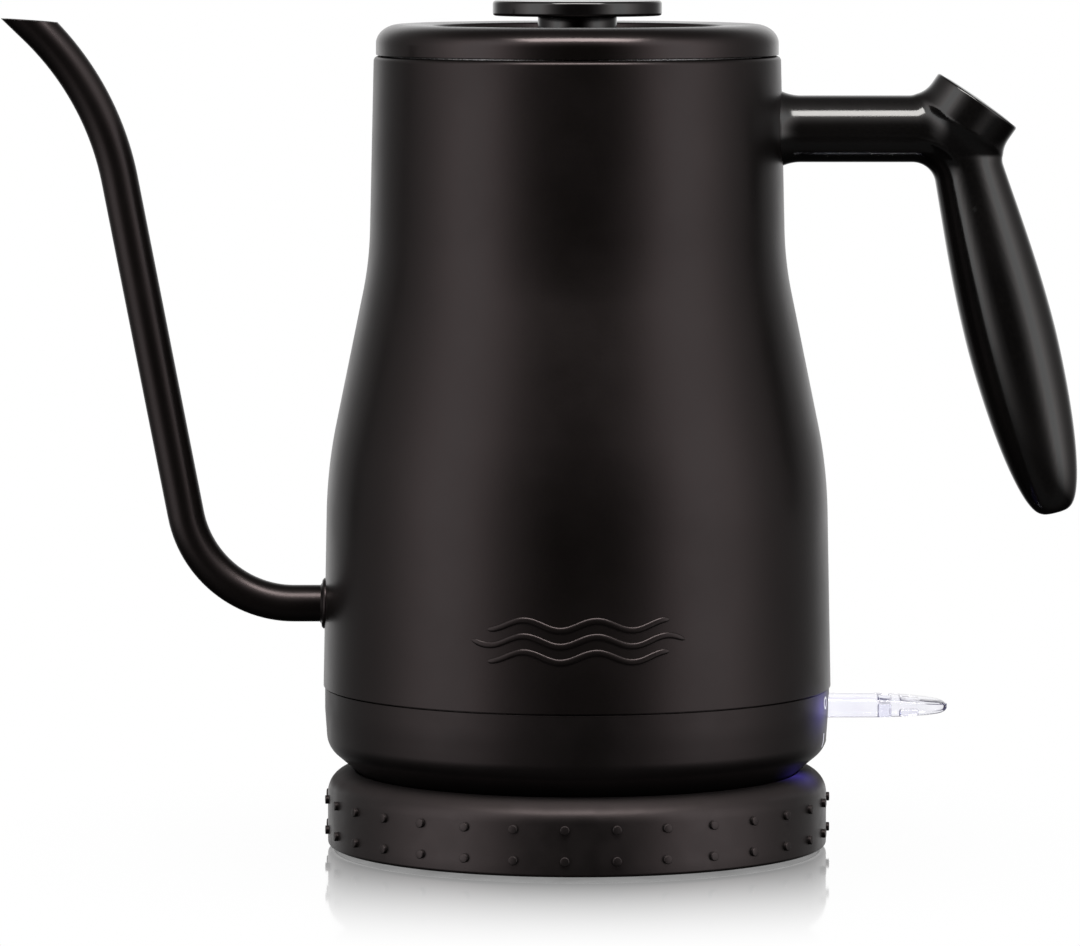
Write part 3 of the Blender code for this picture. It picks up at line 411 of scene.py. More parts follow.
def soft_rubber(painted_glow_at):
    """Silicone sleeve, duller where it faces up and gathers dust, with a painted blue glow on its shoulder
    near the lever.
    """
    s = Surface("matte_black_rubber", fixed={"Specular IOR Level": 0.52, "Sheen Weight": 0.01,
                                            "Sheen Roughness": 0.5, "Specular Tint": WARM})
    base = coloured(s, (0.0024, 0.0022, 0.0021), (0.0040, 0.0037, 0.0036), 0.018, 0.0005)
    s.colour(s.mixed(s.ranged(s.noise(0.0040, 6.0, roughness=0.7), 0.62, 0.80), base,
                     (0.0075, 0.0069, 0.0066)))
    skin = s.smears(0.006, 4.0, 0.33, 0.39)
    facing = s.node("SeparateXYZ", {0: s.node("NewGeometry").outputs["Normal"]})
    s.roughness(s.maths("ADD", skin, s.ranged(facing.outputs["Z"], 0.32, 0.72, 0.0, 0.34)))
    s.grain(0.0004, 3.0, 0.000012)
    # painted light: a blue glow on the base's shoulder near the lever, standing in for the lamp's light
    s.painted_halo(painted_glow_at, (0.9, 0.9, 2.6), 0.014, 2.0, (0.17, 0.12, 1.0), 0.16)
    return s.material


def metal(name, dark, light, rough, grain, stretch, depth):
    """Bare metal with a directional grain and a little staining."""
    s = Surface(name, metallic=1.0)
    lines = s.noise(grain, 3.0, stretch, 0.6)
    stain = s.noise(0.012, 5.0)
    tone = s.maths("ADD", s.maths("MULTIPLY", lines, 0.6), s.maths("MULTIPLY", stain, 0.4))
    s.colour(s.mixed(s.ranged(tone, 0.35, 0.65), dark, light))
    s.roughness(s.ranged(tone, 0.3, 0.7, rough[0], rough[1]))
    s.height(lines, depth)
    return s.material


def moulded(name, dark, light, patches, smears, grain, fixed=None):
    """A plain moulding in two tones, with its patches, smears and grain."""
    s = Surface(name, fixed=fixed)
    s.colour(coloured(s, dark, light, *patches))
    s.roughness(s.smears(*smears))
    if grain:
        s.grain(*grain)
    return s


def dull_plastic(name, dark, light, smooth, rough):
    return moulded(name, dark, light, (0.008, 0.0007), (0.005, 4.0, smooth, rough), (0.0005, 3.0, 0.000012))


def clear_plastic(lamp_at):
    """Clear plastic, faintly blue, with a painted blue glow that fades out from the lamp."""
    s = Surface("clear_plastic", fixed={"Transmission Weight": 1.0, "IOR": 1.46})
    tint = s.noise(0.006, 3.0)
    s.colour(s.mixed(s.ranged(tint, 0.35, 0.65), (0.88, 0.88, 0.93), (0.94, 0.94, 0.97)))
    s.roughness(s.ranged(s.noise(0.003, 4.0), 0.3, 0.75, 0.015, 0.06))
    s.grain(0.0040, 2.0, 0.000020)
    # painted glow: blue emission that fades with distance from the lamp
    away = s.distance(lamp_at)
    s.glow(s.maths("POWER", s.ranged(away, 0.040, 0.004, smooth=False), 1.6), (0.35, 0.32, 1.0), 0.04)
    return s.material


def ink_with_painted_backlight():
    """White print of the on and off marks, with a painted glow standing in for the lamp lighting it from
    behind.
    """
    s = moulded("white_ink", (0.70, 0.71, 0.76), (0.86, 0.87, 0.92), (0.004, 0.0006), (0.002, 3.0, 0.35, 0.5),
                (0.0005, 3.0, 0.000006))
    # painted glow of the print, as if lit from behind
    s.glow(s.ranged(s.noise(0.003, 2.0), 0.2, 0.8, 0.8, 1.0), (0.86, 0.86, 1.0), 0.38)
    return s.material


def lamp_glass():
    s = moulded("blue_lamp", (0.20, 0.35, 0.95), (0.35, 0.55, 1.0), (0.002, 0.0005), (0.001, 3.0, 0.10, 0.2),
                None, {"Transmission Weight": 0.6})
    s.glow(s.ranged(s.noise(0.002, 2.0), 0.2, 0.8, 0.7, 1.0), (0.25, 0.30, 1.0), 6.0)
    return s.material


def circuit_board():
    s = Surface("circuit_board")
    base = coloured(s, (0.010, 0.085, 0.035), (0.020, 0.150, 0.060), 0.004, 0.0006)
    tracks = s.ranged(s.noise(0.0016, 0.0, (4.0, 1.0, 1.0)), 0.56, 0.60)
    s.colour(s.mixed(tracks, base, (0.05, 0.26, 0.11)))
    s.roughness(s.smears(0.003, 3.0, 0.35, 0.5))
    s.height(tracks, 0.00003)
    return s.material


def make_materials():
    lamp_at = (LEVER_HIGH.x - 0.0330, -0.0045, LEVER_LOW.z + 0.0012)
    # centre of the painted blue glow on the cup, beside the lever
    cup_painted_glow_at = (AXIS + 0.0655, -0.0190, LEVER_LOW.z + 0.0045)
    # centre of the painted blue glow on the base's shoulder
    base_painted_glow_at = (AXIS + 0.0590, -0.0175, BAND_CREST)
    return {
        "paint": satin_paint("satin_black_paint", 0.28, 0.33, 0.37),
        "lid_paint": satin_paint("lid_black_paint", 0.18, 0.24, 0.47),
        "cup": cup_plastic(cup_painted_glow_at),
        "gloss": gloss_plastic(),
        "rubber": soft_rubber(base_painted_glow_at),
        "matte": moulded("matte_black_plastic", (0.0080, 0.0080, 0.0083), (0.0130, 0.0128, 0.0130),
                         (0.015, 0.0005), (0.008, 4.0, 0.46, 0.60), (0.0004, 4.0, 0.000022)).material,
        "steel": metal("brushed_steel", (0.42, 0.42, 0.43), (0.66, 0.66, 0.67), (0.20, 0.34), 0.0006,
                       (1.0, 1.0, 14.0), 0.000010),
        "aluminium": metal("cast_aluminium", (0.52, 0.53, 0.54), (0.72, 0.73, 0.74), (0.38, 0.55), 0.0012,
                           (1.0, 1.0, 1.0), 0.000050),
        "brass": metal("contact_brass", (0.58, 0.42, 0.18), (0.80, 0.62, 0.30), (0.22, 0.36), 0.0007,
                       (1.0, 1.0, 6.0), 0.000008),
        "clear": clear_plastic(lamp_at),
        "nylon": dull_plastic("white_nylon", (0.62, 0.62, 0.60), (0.78, 0.78, 0.76), 0.42, 0.55).material,
        "seal": dull_plastic("seal_silicone", (0.30, 0.30, 0.30), (0.42, 0.42, 0.41), 0.45, 0.6).material,
        "ink": ink_with_painted_backlight(),
        "board": circuit_board(),
        "lamp": lamp_glass(),
    }


# ---- mesh helpers

def arc(centre, radius, start, end, steps):
    """Points on a circle in a plane, from one angle to another."""
    angles = [start + (end - start) * step / steps for step in range(steps + 1)]
    return [(centre[0] + radius * math.cos(angle), centre[1] + radius * math.sin(angle)) for angle in angles]


def round_corner(before, corner, after, radius, steps):
    """The arc that replaces one corner of an outline."""
    corner = Vector(corner)
    back = (Vector(before) - corner).normalized()
    ahead = (Vector(after) - corner).normalized()
    half = back.angle(ahead) / 2
    centre = corner + (back + ahead).normalized() * radius / math.sin(half)
    start = corner + back * radius / math.tan(half) - centre
    turn = (math.pi - 2 * half) * math.copysign(1.0, back.x * ahead.y - back.y * ahead.x)
    points = []
    for step in range(steps + 1):
        angle = -turn * step / steps
        x = start.x * math.cos(angle) - start.y * math.sin(angle)
        y = start.x * math.sin(angle) + start.y * math.cos(angle)
        points.append((centre.x + x, centre.y + y))
    return points


def outline(corners, closed, steps):
    """Outline points from corners; a third value on a corner is its fillet radius."""
    points = []
    count = len(corners)
    for index, corner in enumerate(corners):
        inner = closed or 0 < index < count - 1
        if len(corner) == 2 or not inner:
            points.append(tuple(corner[:2]))
            continue
        before = corners[index - 1][:2]
        after = corners[(index + 1) % count][:2]
        points.extend(round_corner(before, corner[:2], after, corner[2], steps))
    return points


def stretch(first, last, longest):
    """Points from first up to just before last, at most longest apart."""
    parts = max(1, math.ceil(math.dist(first, last) / longest))
    for part in range(parts):
        share = part / parts
        yield (first[0] + (last[0] - first[0]) * share, first[1] + (last[1] - first[1]) * share)


def divided(points, closed, longest):
    """The same outline with no stretch longer than a given length."""
    ends = points[1:] + points[:1] if closed else points[1:]
    result = [point for first, last in zip(points, ends) for point in stretch(first, last, longest)]
    return result if closed else result + [points[-1]]


def radius_at(points, z):
    """Radius of an upright outline at a height."""
    heights = [point[1] for point in points]
    return float(np.interp(z, heights, [point[0] for point in points]))


def quads(rings, closed):
    """Faces between rings of vertex numbers; a ring may be a single point."""
    faces = []
    pairs = list(zip(rings, rings[1:]))
    if closed:
        pairs.append((rings[-1], rings[0]))
    for first, last in pairs:
        count = max(len(first), len(last))
        for index in range(count):
            after = (index + 1) % count
            around = (first[index % len(first)], first[after % len(first)],
                      last[after % len(last)], last[index % len(last)])
            face = list(dict.fromkeys(around))
            if len(face) > 2:
                faces.append(face)
    return faces


def circle(count):
    """Cosine and sine of evenly spaced angles round a full turn."""
    angles = [2 * math.pi * index / count for index in range(count)]
    return [(math.cos(angle), math.sin(angle)) for angle in angles]


def shade(mesh):
    mesh.shade_smooth()
    mesh.set_sharp_from_angle(angle=SHARP_ANGLE)


def give(bm, mesh):
    """Move a bmesh into a mesh and shade it."""
    bm.to_mesh(mesh)
    bm.free()
    shade(mesh)
    return mesh


def mesh_from(name, verts, faces):
    mesh = bpy.data.meshes.new(name)
    mesh.from_pydata(verts, [], faces)
    bm = bmesh.new()
    bm.from_mesh(mesh)
    bmesh.ops.recalc_face_normals(bm, faces=bm.faces)
    return give(bm, mesh)


def skin(name, loops, closed, capped=False):
    """A mesh stretched over loops of points; closed joins the last loop to the first."""
    verts, rings = [], []
    for loop in loops:
        rings.append(range(len(verts), len(verts) + len(loop)))
        verts += loop
    caps = [list(rings[0]), list(rings[-1])] if capped else []
    return mesh_from(name, verts, quads(rings, closed) + caps)


def lathe(name, corners, sides, steps=8, longest=None):
    """A closed body turned about Z from (radius, height[, fillet]) corners."""
    ring = corners[0][0] > 0
    points = outline(corners, ring, steps)
    if longest:
        points = divided(points, ring, longest)
    turn = circle(sides)
    loops = [[(radius * c, radius * s, height) for c, s in (turn if radius > 0 else turn[:1])]
             for radius, height in points]
    return skin(name, loops, ring)


def shift(x, y, z):
    return Matrix.Translation((x, y, z))


def loose(mesh, matrix=None):
    """An object in the scene that isn't yet a piece, drawn about the kettle's axis."""
    if matrix:
        mesh.transform(matrix)
    mesh.transform(shift(AXIS, 0.0, 0.0))
    obj = bpy.data.objects.new(mesh.name, mesh)
    bpy.context.scene.collection.objects.link(obj)
    return obj


def turned(name, corners, sides, steps=8, longest=None, matrix=None):
    """A lathed body as a loose object."""
    return loose(lathe(name, corners, sides, steps, longest), matrix)


def drill(name, radius, bottom, top, matrix=None, sides=SMALL):
    """A round tool for carve(), from bottom to top along its own Z."""
    ends = [(0, bottom), (radius, bottom), (radius, top), (0, top)]
    return turned(name, ends, sides, matrix=matrix)


def settle(obj):
    """Take what the object's modifiers give as its own mesh."""
    graph = bpy.context.evaluated_depsgraph_get()
    mesh = bpy.data.meshes.new_from_object(obj.evaluated_get(graph))
    obj.modifiers.clear()
    obj.data = mesh
    shade(mesh)


def carve(obj, *tools, operation="DIFFERENCE"):
    """Boolean with tool objects, which are used up."""
    for tool in tools:
        modifier = obj.modifiers.new("carve", "BOOLEAN")
        modifier.operation = operation
        modifier.solver = "EXACT"
        modifier.object = tool
    settle(obj)
    for tool in tools:
        bpy.data.objects.remove(tool)
    return obj


def over(node):
    """Moves a piece drawn about the axis over the middle of a CAD node."""
    x, y = [(low(node)[axis] + high(node)[axis]) / 2 for axis in (0, 1)]
    return shift(x - AXIS, y, 0)


def piece(obj, finish, body, node=None):
    """Give an object its finish and its body, and hide the CAD node it stands in for."""
    obj.data.materials.clear()
    obj.data.materials.append(materials[finish])
    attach(obj, body)
    if node:
        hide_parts(node)


def along_x(height, sign=1.0):
    """Lays a piece drawn about Z along X, at a height."""
    return shift(0, 0, height) @ Matrix.Rotation(sign * math.pi / 2, 4, "Y")


# ---- base

def cord_hole():
    turn = shift(0, 0, CORD_HOLE_Z) @ Matrix.Rotation(-math.pi / 2, 4, "X")
    return drill("cord_hole", CORD_HOLE_RADIUS, 0.056, 0.075, turn)


def make_base():
    """The rubber sleeve with its studs, the hard well inside it, and the feet."""
    inner = BAND_RADIUS - BAND_WALL
    centre = (BAND_RADIUS - SHOULDER_RADIUS, BAND_CREST - SHOULDER_RADIUS)
    corners = [(inner, BAND_BOTTOM), (BAND_RADIUS, BAND_BOTTOM, 0.0009)]
    corners += arc(centre, SHOULDER_RADIUS, 0, math.pi / 2, 20)
    corners += [(LIP_RADIUS, BAND_CREST, 0.0006), (LIP_RADIUS, BAND_CREST - BAND_WALL)]
    corners += arc(centre, SHOULDER_RADIUS - BAND_WALL, math.pi / 2, 0, 8)
    band = carve(turned("base_sleeve", corners, LARGE, 6, 0.003), cord_hole())
    piece(band, "rubber", "base", "grip_band")
    piece(loose(stud_mesh()), "rubber", "base")

    gap = 0.0003
    radius = inner - gap
    shoulder = SHOULDER_RADIUS - BAND_WALL - gap
    bottom = low("base_shell").z
    under = DECK_Z - 0.0018
    well = LIP_RADIUS - 0.0008
    collar = 0.0168
    corners = [(radius, bottom)] + arc(centre, shoulder, 0, math.pi / 2, 10)
    corners += [(well, BAND_CREST - BAND_WALL - gap, 0.0005), (well, DECK_Z, 0.0012),
                (0.0460, DECK_Z), (0.0452, DECK_Z - 0.0005, 0.0003), (0.0250, DECK_Z - 0.0005, 0.0003),
                (0.0242, DECK_Z), (collar, DECK_Z, 0.0004), (collar, under),
                (radius - 0.0019, under), (radius - 0.0019, bottom)]
    shell = carve(turned("base_well", corners, LARGE, 5, 0.004), cord_hole())
    piece(shell, "matte", "base", "base_shell")
    foot_top = high("base_foot_1").z
    for number in range(1, 5):
        node = f"base_foot_{number}"
        corners = [(0, 0), (0.0020, 0), (0.0024, 0.0003, 0.0002), (0.0046, 0.0003), (0.0050, 0, 0.0002),
                   (0.0055, 0.0006, 0.0003), (0.0055, foot_top, 0.0002), (0, foot_top)]
        foot = turned(f"foot_pad_{number}", corners, SMALL, 4, matrix=over(node))
        piece(foot, "rubber", "base", node)


def stud_mesh():
    """Both rows of studs, short rounded cylinders that point straight out."""
    depth = STUD_HEIGHT + 0.0004
    edge = 0.00022
    corners = [(0, 0), (STUD_RADIUS, 0), (STUD_RADIUS, depth, edge), (0, depth)]
    template = lathe("stud", corners, TINY, 4)
    bm = bmesh.new()
    for row in STUD_ROWS_Z:
        for index in range(STUDS_PER_ROW):
            turn = Matrix.Rotation(STUD_PHASE + 2 * math.pi * index / STUDS_PER_ROW, 4, "Z")
            out = shift(0, -BAND_RADIUS + 0.0004, row) @ Matrix.Rotation(math.pi / 2, 4, "X")
            template.transform(turn @ out)
            bm.from_mesh(template)
            template.transform((turn @ out).inverted())
    return give(bm, bpy.data.meshes.new("base_studs"))


def make_plug():
    """The round plug in the middle of the base, with its contacts."""
    top = high("plug_housing").z
    under = DECK_Z - 0.0018 - 0.0005
    radius = 0.0158
    corners = [(0, 0.0060), (0.0120, 0.0060), (0.0120, 0.0090), (0.0190, 0.0090), (0.0190, under),
               (radius, under), (radius, 0.0190, 0.0002), (0.0150, 0.0190), (0.0150, 0.0240),
               (radius, 0.0240, 0.0002), (radius, top, 0.0009), (0.0112, top, 0.0003), (0.0112, 0.0150),
               (0.0080, 0.0150), (0.0080, top, 0.0003), (0.0042, top, 0.0003), (0.0042, 0.0140), (0, 0.0140)]
    housing = turned("plug_tower", corners, MEDIUM, 5)
    piece(housing, "matte", "power_plug", "plug_housing")
    rings = (("plug_shell_contact", "plug_earth_ring", 0.0153, 0.0161, "steel", "brushed_steel"),
             ("plug_inner_contact", "plug_contact_ring", 0.0103, 0.0109, "brass", "contact_brass"))
    for name, node, inner, outer, finish, slot in rings:
        bottom, ring_top = low(node).z, high(node).z
        corners = [(inner, bottom, 0.0001), (outer, bottom, 0.0002), (outer, ring_top, 0.0002),
                   (inner, ring_top, 0.0001)]
        piece(turned(name, corners, MEDIUM, 4), finish, "power_plug", node)
    bottom, pin_top = low("plug_center_pin").z, high("plug_center_pin").z
    corners = [(0, bottom), (0.0015, bottom), (0.0015, pin_top, 0.0008), (0, pin_top)]
    piece(turned("plug_pin", corners, TINY, 6), "brass", "power_plug", "plug_center_pin")


# ---- body and cup

def shell_corners(offset):
    """Outer corners of the vessel, moved inwards by an offset, from the seam up."""
    belly_radius, belly_z, belly_round = BELLY_CORNER
    neck_radius, neck_z, neck_round = NECK_CORNER
    return [(SHELL_RADIUS - offset, SEAM_Z), (belly_radius - offset, belly_z, belly_round - offset),
            (neck_radius - offset, neck_z, neck_round + offset)]


def shell_outline():
    return outline(shell_corners(0) + [(TOP_RADIUS, SHELL_TOP)], False, 40)


def make_body():
    """The drawn steel body, one wall thick, with its mouth turned in."""
    lip = SHELL_WALL
    corners = [(SHELL_RADIUS, SEAM_Z, 0.00015)] + shell_corners(0)[1:]
    corners += [(TOP_RADIUS, SHELL_TOP, 0.0013), (MOUTH_RADIUS, SHELL_TOP, 0.0008),
                (MOUTH_RADIUS, SHELL_TOP - 0.0048, 0.0003), (MOUTH_RADIUS + lip, SHELL_TOP - 0.0048),
                (MOUTH_RADIUS + lip, SHELL_TOP - lip), (TOP_RADIUS - lip, SHELL_TOP - lip)]
    corners += reversed(shell_corners(SHELL_WALL))
    mesh = lathe("body_shell", corners, LARGE, 24, 0.0022)
    spout_hole = drill("spout_hole", SPOUT_RADIUS + 0.0002, 0.060, 0.075, along_x(SPOUT_Z, -1.0))
    screw_hole = drill("screw_hole", 0.0023, 0.050, 0.060, along_x(ARM_Z), TINY)
    body = carve(loose(mesh), spout_hole, screw_hole)
    piece(body, "paint", "kettle", "vessel_shell")
    piece(loose(wave_mesh()), "paint", "kettle")


def wave_mesh():
    """Three raised wavy lines across the front, laid on the body's curve."""
    wall = shell_outline()
    half_length, half_width, rise, sink = 0.0290, 0.00085, 0.00042, 0.0002
    centre_z, spacing, swing, wave_length = 0.0634, 0.0042, 0.0013, 0.0193
    stations, across = 120, 10
    turns = [math.pi * step / across for step in range(across + 1)]
    profile = [(math.cos(turn), math.sin(turn) ** 0.7) for turn in turns]
    profile += [(-1.0, -sink / rise), (1.0, -sink / rise)]
    verts, faces = [], []
    for strand in (-1, 0, 1):
        rings = []
        reach = half_length - abs(strand) * 0.0045
        for station in range(stations + 1):
            share = 2 * station / stations - 1
            u = reach * share
            turn = 2 * math.pi * u / wave_length
            v = strand * spacing + swing * math.sin(turn)
            slope = swing * 2 * math.pi / wave_length * math.cos(turn)
            normal = Vector((-slope, 1.0)).normalized()
            end = max(0.04, 1.0 - abs(share) ** 24) ** 0.5
            ring = []
            for side, lift in profile:
                at_u = u + normal.x * side * half_width * end
                at_z = centre_z + v + normal.y * side * half_width * end
                radius = radius_at(wall, at_z) + (lift * rise * end if lift > 0 else lift * rise)
                angle = -math.pi / 2 + at_u / radius
                ring.append(len(verts))
                verts.append((radius * math.cos(angle), radius * math.sin(angle), at_z))
            rings.append(ring)
        faces += quads(rings, False)
        faces += [rings[0], rings[-1]]
    return mesh_from("front_waves", verts, faces)


def cup_corners():
    """Corners of the cup: outside up, then inside down."""
    inner = CUP_RADIUS - 0.0028
    spigot = SHELL_RADIUS - SHELL_WALL - 0.0004
    top = SEAM_Z - 0.00030
    floor = CUP_BOTTOM + 0.0020
    outside = [(0.0205, CUP_BOTTOM), (0.0543, CUP_BOTTOM, 0.006), (CUP_RADIUS - 0.0007, 0.0278, 0.007),
               (CUP_RADIUS, 0.0380), (CUP_RADIUS, top, 0.00025)]
    return outside + [(spigot, top), (spigot, top + 0.0031), (inner, top + 0.0031), (inner, 0.0290),
                      (0.0533, floor), (0.0205, floor)]


def make_cup():
    """The cup under the body, open for the lever, with the switch marks."""
    half = (LEVER_HIGH.y - LEVER_LOW.y) / 2 + 0.0009
    tools = [box("lever_slot", (0.0600, -half, 0.0294), (0.0720, half, 0.0420), 0.0008)]
    for number in range(1, 4):
        at = over(f"cup_screw_{number}")
        for radius, top in ((0.0031, CUP_BOTTOM + 0.0011), (0.0017, CUP_BOTTOM + 0.003)):
            tools.append(drill("cup_hole", radius, CUP_BOTTOM - 0.006, top, at, TINY))
    cup = carve(turned("cup_shell", cup_corners(), LARGE, 14, 0.0025), *tools)
    piece(cup, "cup", "kettle", "bottom_cup")
    piece(loose(mark_mesh()), "ink", "kettle")


def box(name, bottom, top, bevel=0.0, matrix=None):
    """A block between two corners, with its edges rounded off."""
    bm = bmesh.new()
    size = Vector(top) - Vector(bottom)
    middle = (Vector(top) + Vector(bottom)) / 2
    bmesh.ops.create_cube(bm, size=1.0, matrix=Matrix.Translation(middle) @ Matrix.Diagonal((*size, 1.0)))
    if bevel:
        bmesh.ops.bevel(bm, geom=bm.edges[:], offset=bevel, segments=4, profile=0.5, affect="EDGES")
    return loose(give(bm, bpy.data.meshes.new(name)), matrix)


def mark_mesh():
    """A ring for off and a bar for on, printed a hair thick on the cup's wall."""
    wall = outline(cup_corners()[:5], False, 14)
    across = -0.0148
    thickness, sunk = 0.00008, 0.0001
    ring_z, ring_inner, ring_outer = 0.0408, 0.00122, 0.00172
    bar_z, bar_half_height, bar_half_width = 0.0306, 0.0019, 0.00028
    verts, faces, rings = [], [], []

    def put(u, z, lift):
        radius = radius_at(wall, z) + lift
        angle = (across + u) / CUP_RADIUS
        verts.append((radius * math.cos(angle), radius * math.sin(angle), z))
        return len(verts) - 1

    corners = ((ring_inner, -sunk), (ring_outer, -sunk), (ring_outer, thickness), (ring_inner, thickness))
    for radius, lift in corners:
        rings.append([put(radius * c, ring_z + radius * s, lift) for c, s in circle(SMALL)])
    faces += quads(rings, True)
    rings = []
    for step in range(13):
        z = bar_z + bar_half_height * (step / 6 - 1)
        rings.append([put(-bar_half_width, z, -sunk), put(bar_half_width, z, -sunk),
                      put(bar_half_width, z, thickness), put(-bar_half_width, z, thickness)])
    faces += quads(rings, False)
    faces += [rings[0], rings[-1]]
    return mesh_from("switch_marks", verts, faces)


def make_inside():
    """The round parts that show through the mouth or under the cup."""
    top = high("heating_plate").z
    rim = SHELL_RADIUS - SHELL_WALL - 0.0004
    corners = [(0, top - 0.0012), (rim - 0.0012, top - 0.0012), (rim - 0.0012, top - 0.0032),
               (rim, top - 0.0032), (rim, top, 0.0002), (0.0560, top, 0.0006),
               (0.0552, top + 0.0004, 0.0006),
               (0.0530, top + 0.0004, 0.0006), (0.0522, top, 0.0006), (0, top)]
    disc = turned("heater_disc", corners, LARGE, 5, 0.004)
    tube_at = over("steam_tube")
    carve(disc, drill("tube_hole", 0.0048, top - 0.01, top + 0.01, tube_at))
    piece(disc, "steel", "kettle", "heating_plate")
    bottom, tube_top = low("steam_tube").z, high("steam_tube").z
    corners = [(0.0036, bottom), (0.0045, bottom), (0.0045, tube_top, 0.0003), (0.0036, tube_top, 0.0003)]
    tube = turned("steam_pipe", corners, SMALL, 4, 0.006, tube_at)
    piece(tube, "steel", "kettle", "steam_tube")
    roof = 0.0284
    corners = [(0.0172, 0.0166, 0.0004), (0.0200, 0.0166, 0.0004), (0.0200, 0.0187), (0.0240, 0.0187),
               (0.0240, 0.0205), (0.0200, 0.0205), (0.0200, roof + 0.0020, 0.0005), (0.0034, roof + 0.0020),
               (0.0034, roof), (0.0172, roof)]
    piece(turned("socket_shell", corners, MEDIUM, 4), "matte", "kettle", "kettle_socket")


# ---- spout

def bend(corner, heading_in, heading_out, radius, steps):
    """Stations (point, direction) of a bend between two straight runs."""
    first = Vector(heading_in).normalized()
    last = Vector(heading_out).normalized()
    turn = first.angle(last)
    sign = math.copysign(1.0, first.x * last.y - first.y * last.x)
    start = Vector(corner) - first * radius * math.tan(turn / 2)
    side = Vector((-first.y, first.x)) * sign
    centre = start + side * radius
    stations = []
    for step in range(steps + 1):
        angle = turn * step / steps
        heading = first * math.cos(angle) + side * math.sin(angle)
        point = centre + (first * math.sin(angle) - side * math.cos(angle)) * radius
        stations.append((tuple(point), tuple(heading)))
    return stations


def spout_route():
    """Centreline of the spout from inside the wall to just past its tip."""
    rise = (-math.sin(SPOUT_LEAN), math.cos(SPOUT_LEAN))
    tip = (-math.sin(SPOUT_TIP_LEAN), math.cos(SPOUT_TIP_LEAN))
    route = [((-SHELL_RADIUS + 0.0027, SPOUT_Z), (-1.0, 0.0))]
    route += bend((SPOUT_CORNER_X, SPOUT_Z), (-1.0, 0.0), rise, SPOUT_LOWER_BEND, 28)
    tangent = SPOUT_UPPER_BEND * math.tan((SPOUT_TIP_LEAN - SPOUT_LEAN) / 2)
    corner_z = SPOUT_UPPER_BEND_Z + tangent * math.cos(SPOUT_LEAN)
    corner_x = SPOUT_CORNER_X - (corner_z - SPOUT_Z) * math.tan(SPOUT_LEAN)
    route += bend((corner_x, corner_z), rise, tip, SPOUT_UPPER_BEND, 28)
    (x, z), heading = route[-1]
    past = 0.0120
    route.append(((x + past * heading[0], z + past * heading[1]), heading))
    return route


def in_steps(route, longest):
    """The same route with its straight runs divided."""
    result = []
    for (first, heading), (last, _) in zip(route, route[1:]):
        result += [(point, heading) for point in stretch(first, last, longest)]
    return result + [route[-1]]


def swept(name, stations, sides, closed):
    """Circles along a path in the XZ plane; closed joins the last one to the first."""
    loops = []
    for centre, direction, radius in stations:
        along = Vector((direction[0], 0.0, direction[1])).normalized()
        across = Vector((0.0, 1.0, 0.0)).cross(along)
        middle = Vector((centre[0], 0.0, centre[1]))
        loops.append([middle + across * radius * c + Vector((0, radius * s, 0)) for c, s in circle(sides)])
    return loose(skin(name, loops, closed, not closed))


def make_spout():
    """The gooseneck tube, its saddle flange on the wall, and its open tip."""
    route = in_steps(spout_route(), 0.004)
    stations = [(point, heading, SPOUT_RADIUS) for point, heading in route]
    stations += [(point, heading, SPOUT_RADIUS - SPOUT_WALL) for point, heading in reversed(route)]
    (end_x, _), _ = spout_route()[-2]
    tilt = shift(end_x, 0, SPOUT_TIP_Z) @ Matrix.Rotation(SPOUT_CUT_TILT, 4, "Y")
    trim = box("spout_trim", (-0.03, -0.012, 0), (0.03, 0.012, 0.03), matrix=tilt)
    tube = carve(swept("spout_pipe", stations, SMALL, True), trim)
    piece(tube, "paint", "kettle", "spout_tube")
    piece(loose(saddle_mesh()), "paint", "kettle", "spout_flange")


def saddle_mesh():
    """A washer that follows the wall round the foot of the spout."""
    wall = shell_outline()
    inner = SPOUT_RADIUS + 0.00005
    profile = [(inner, -0.0002), (0.0069, -0.0002), (0.0069, 0.0003, 0.0002), (0.0064, 0.0008, 0.0005),
               (0.0056, 0.0009, 0.0005), (inner, 0.0013)]
    loops = []
    for reach, lift in outline(profile, True, 5):
        spots = [(reach * c, SPOUT_Z + reach * s) for c, s in circle(MEDIUM)]
        loops.append([(-math.sqrt(radius_at(wall, z) ** 2 - y * y) - lift, y, z) for y, z in spots])
    return skin("spout_saddle", loops, True)


# ---- handle

def grip_radius(distance):
    """Radius of the grip at a distance from the corner, up to its widest."""
    share = np.clip((distance - GRIP_START) / (GRIP_WIDEST - GRIP_START), 0.0, 1.0)
    return ARM_RADIUS + GRIP_SWELL * np.sin(math.pi / 2 * share) ** GRIP_RISE_POWER


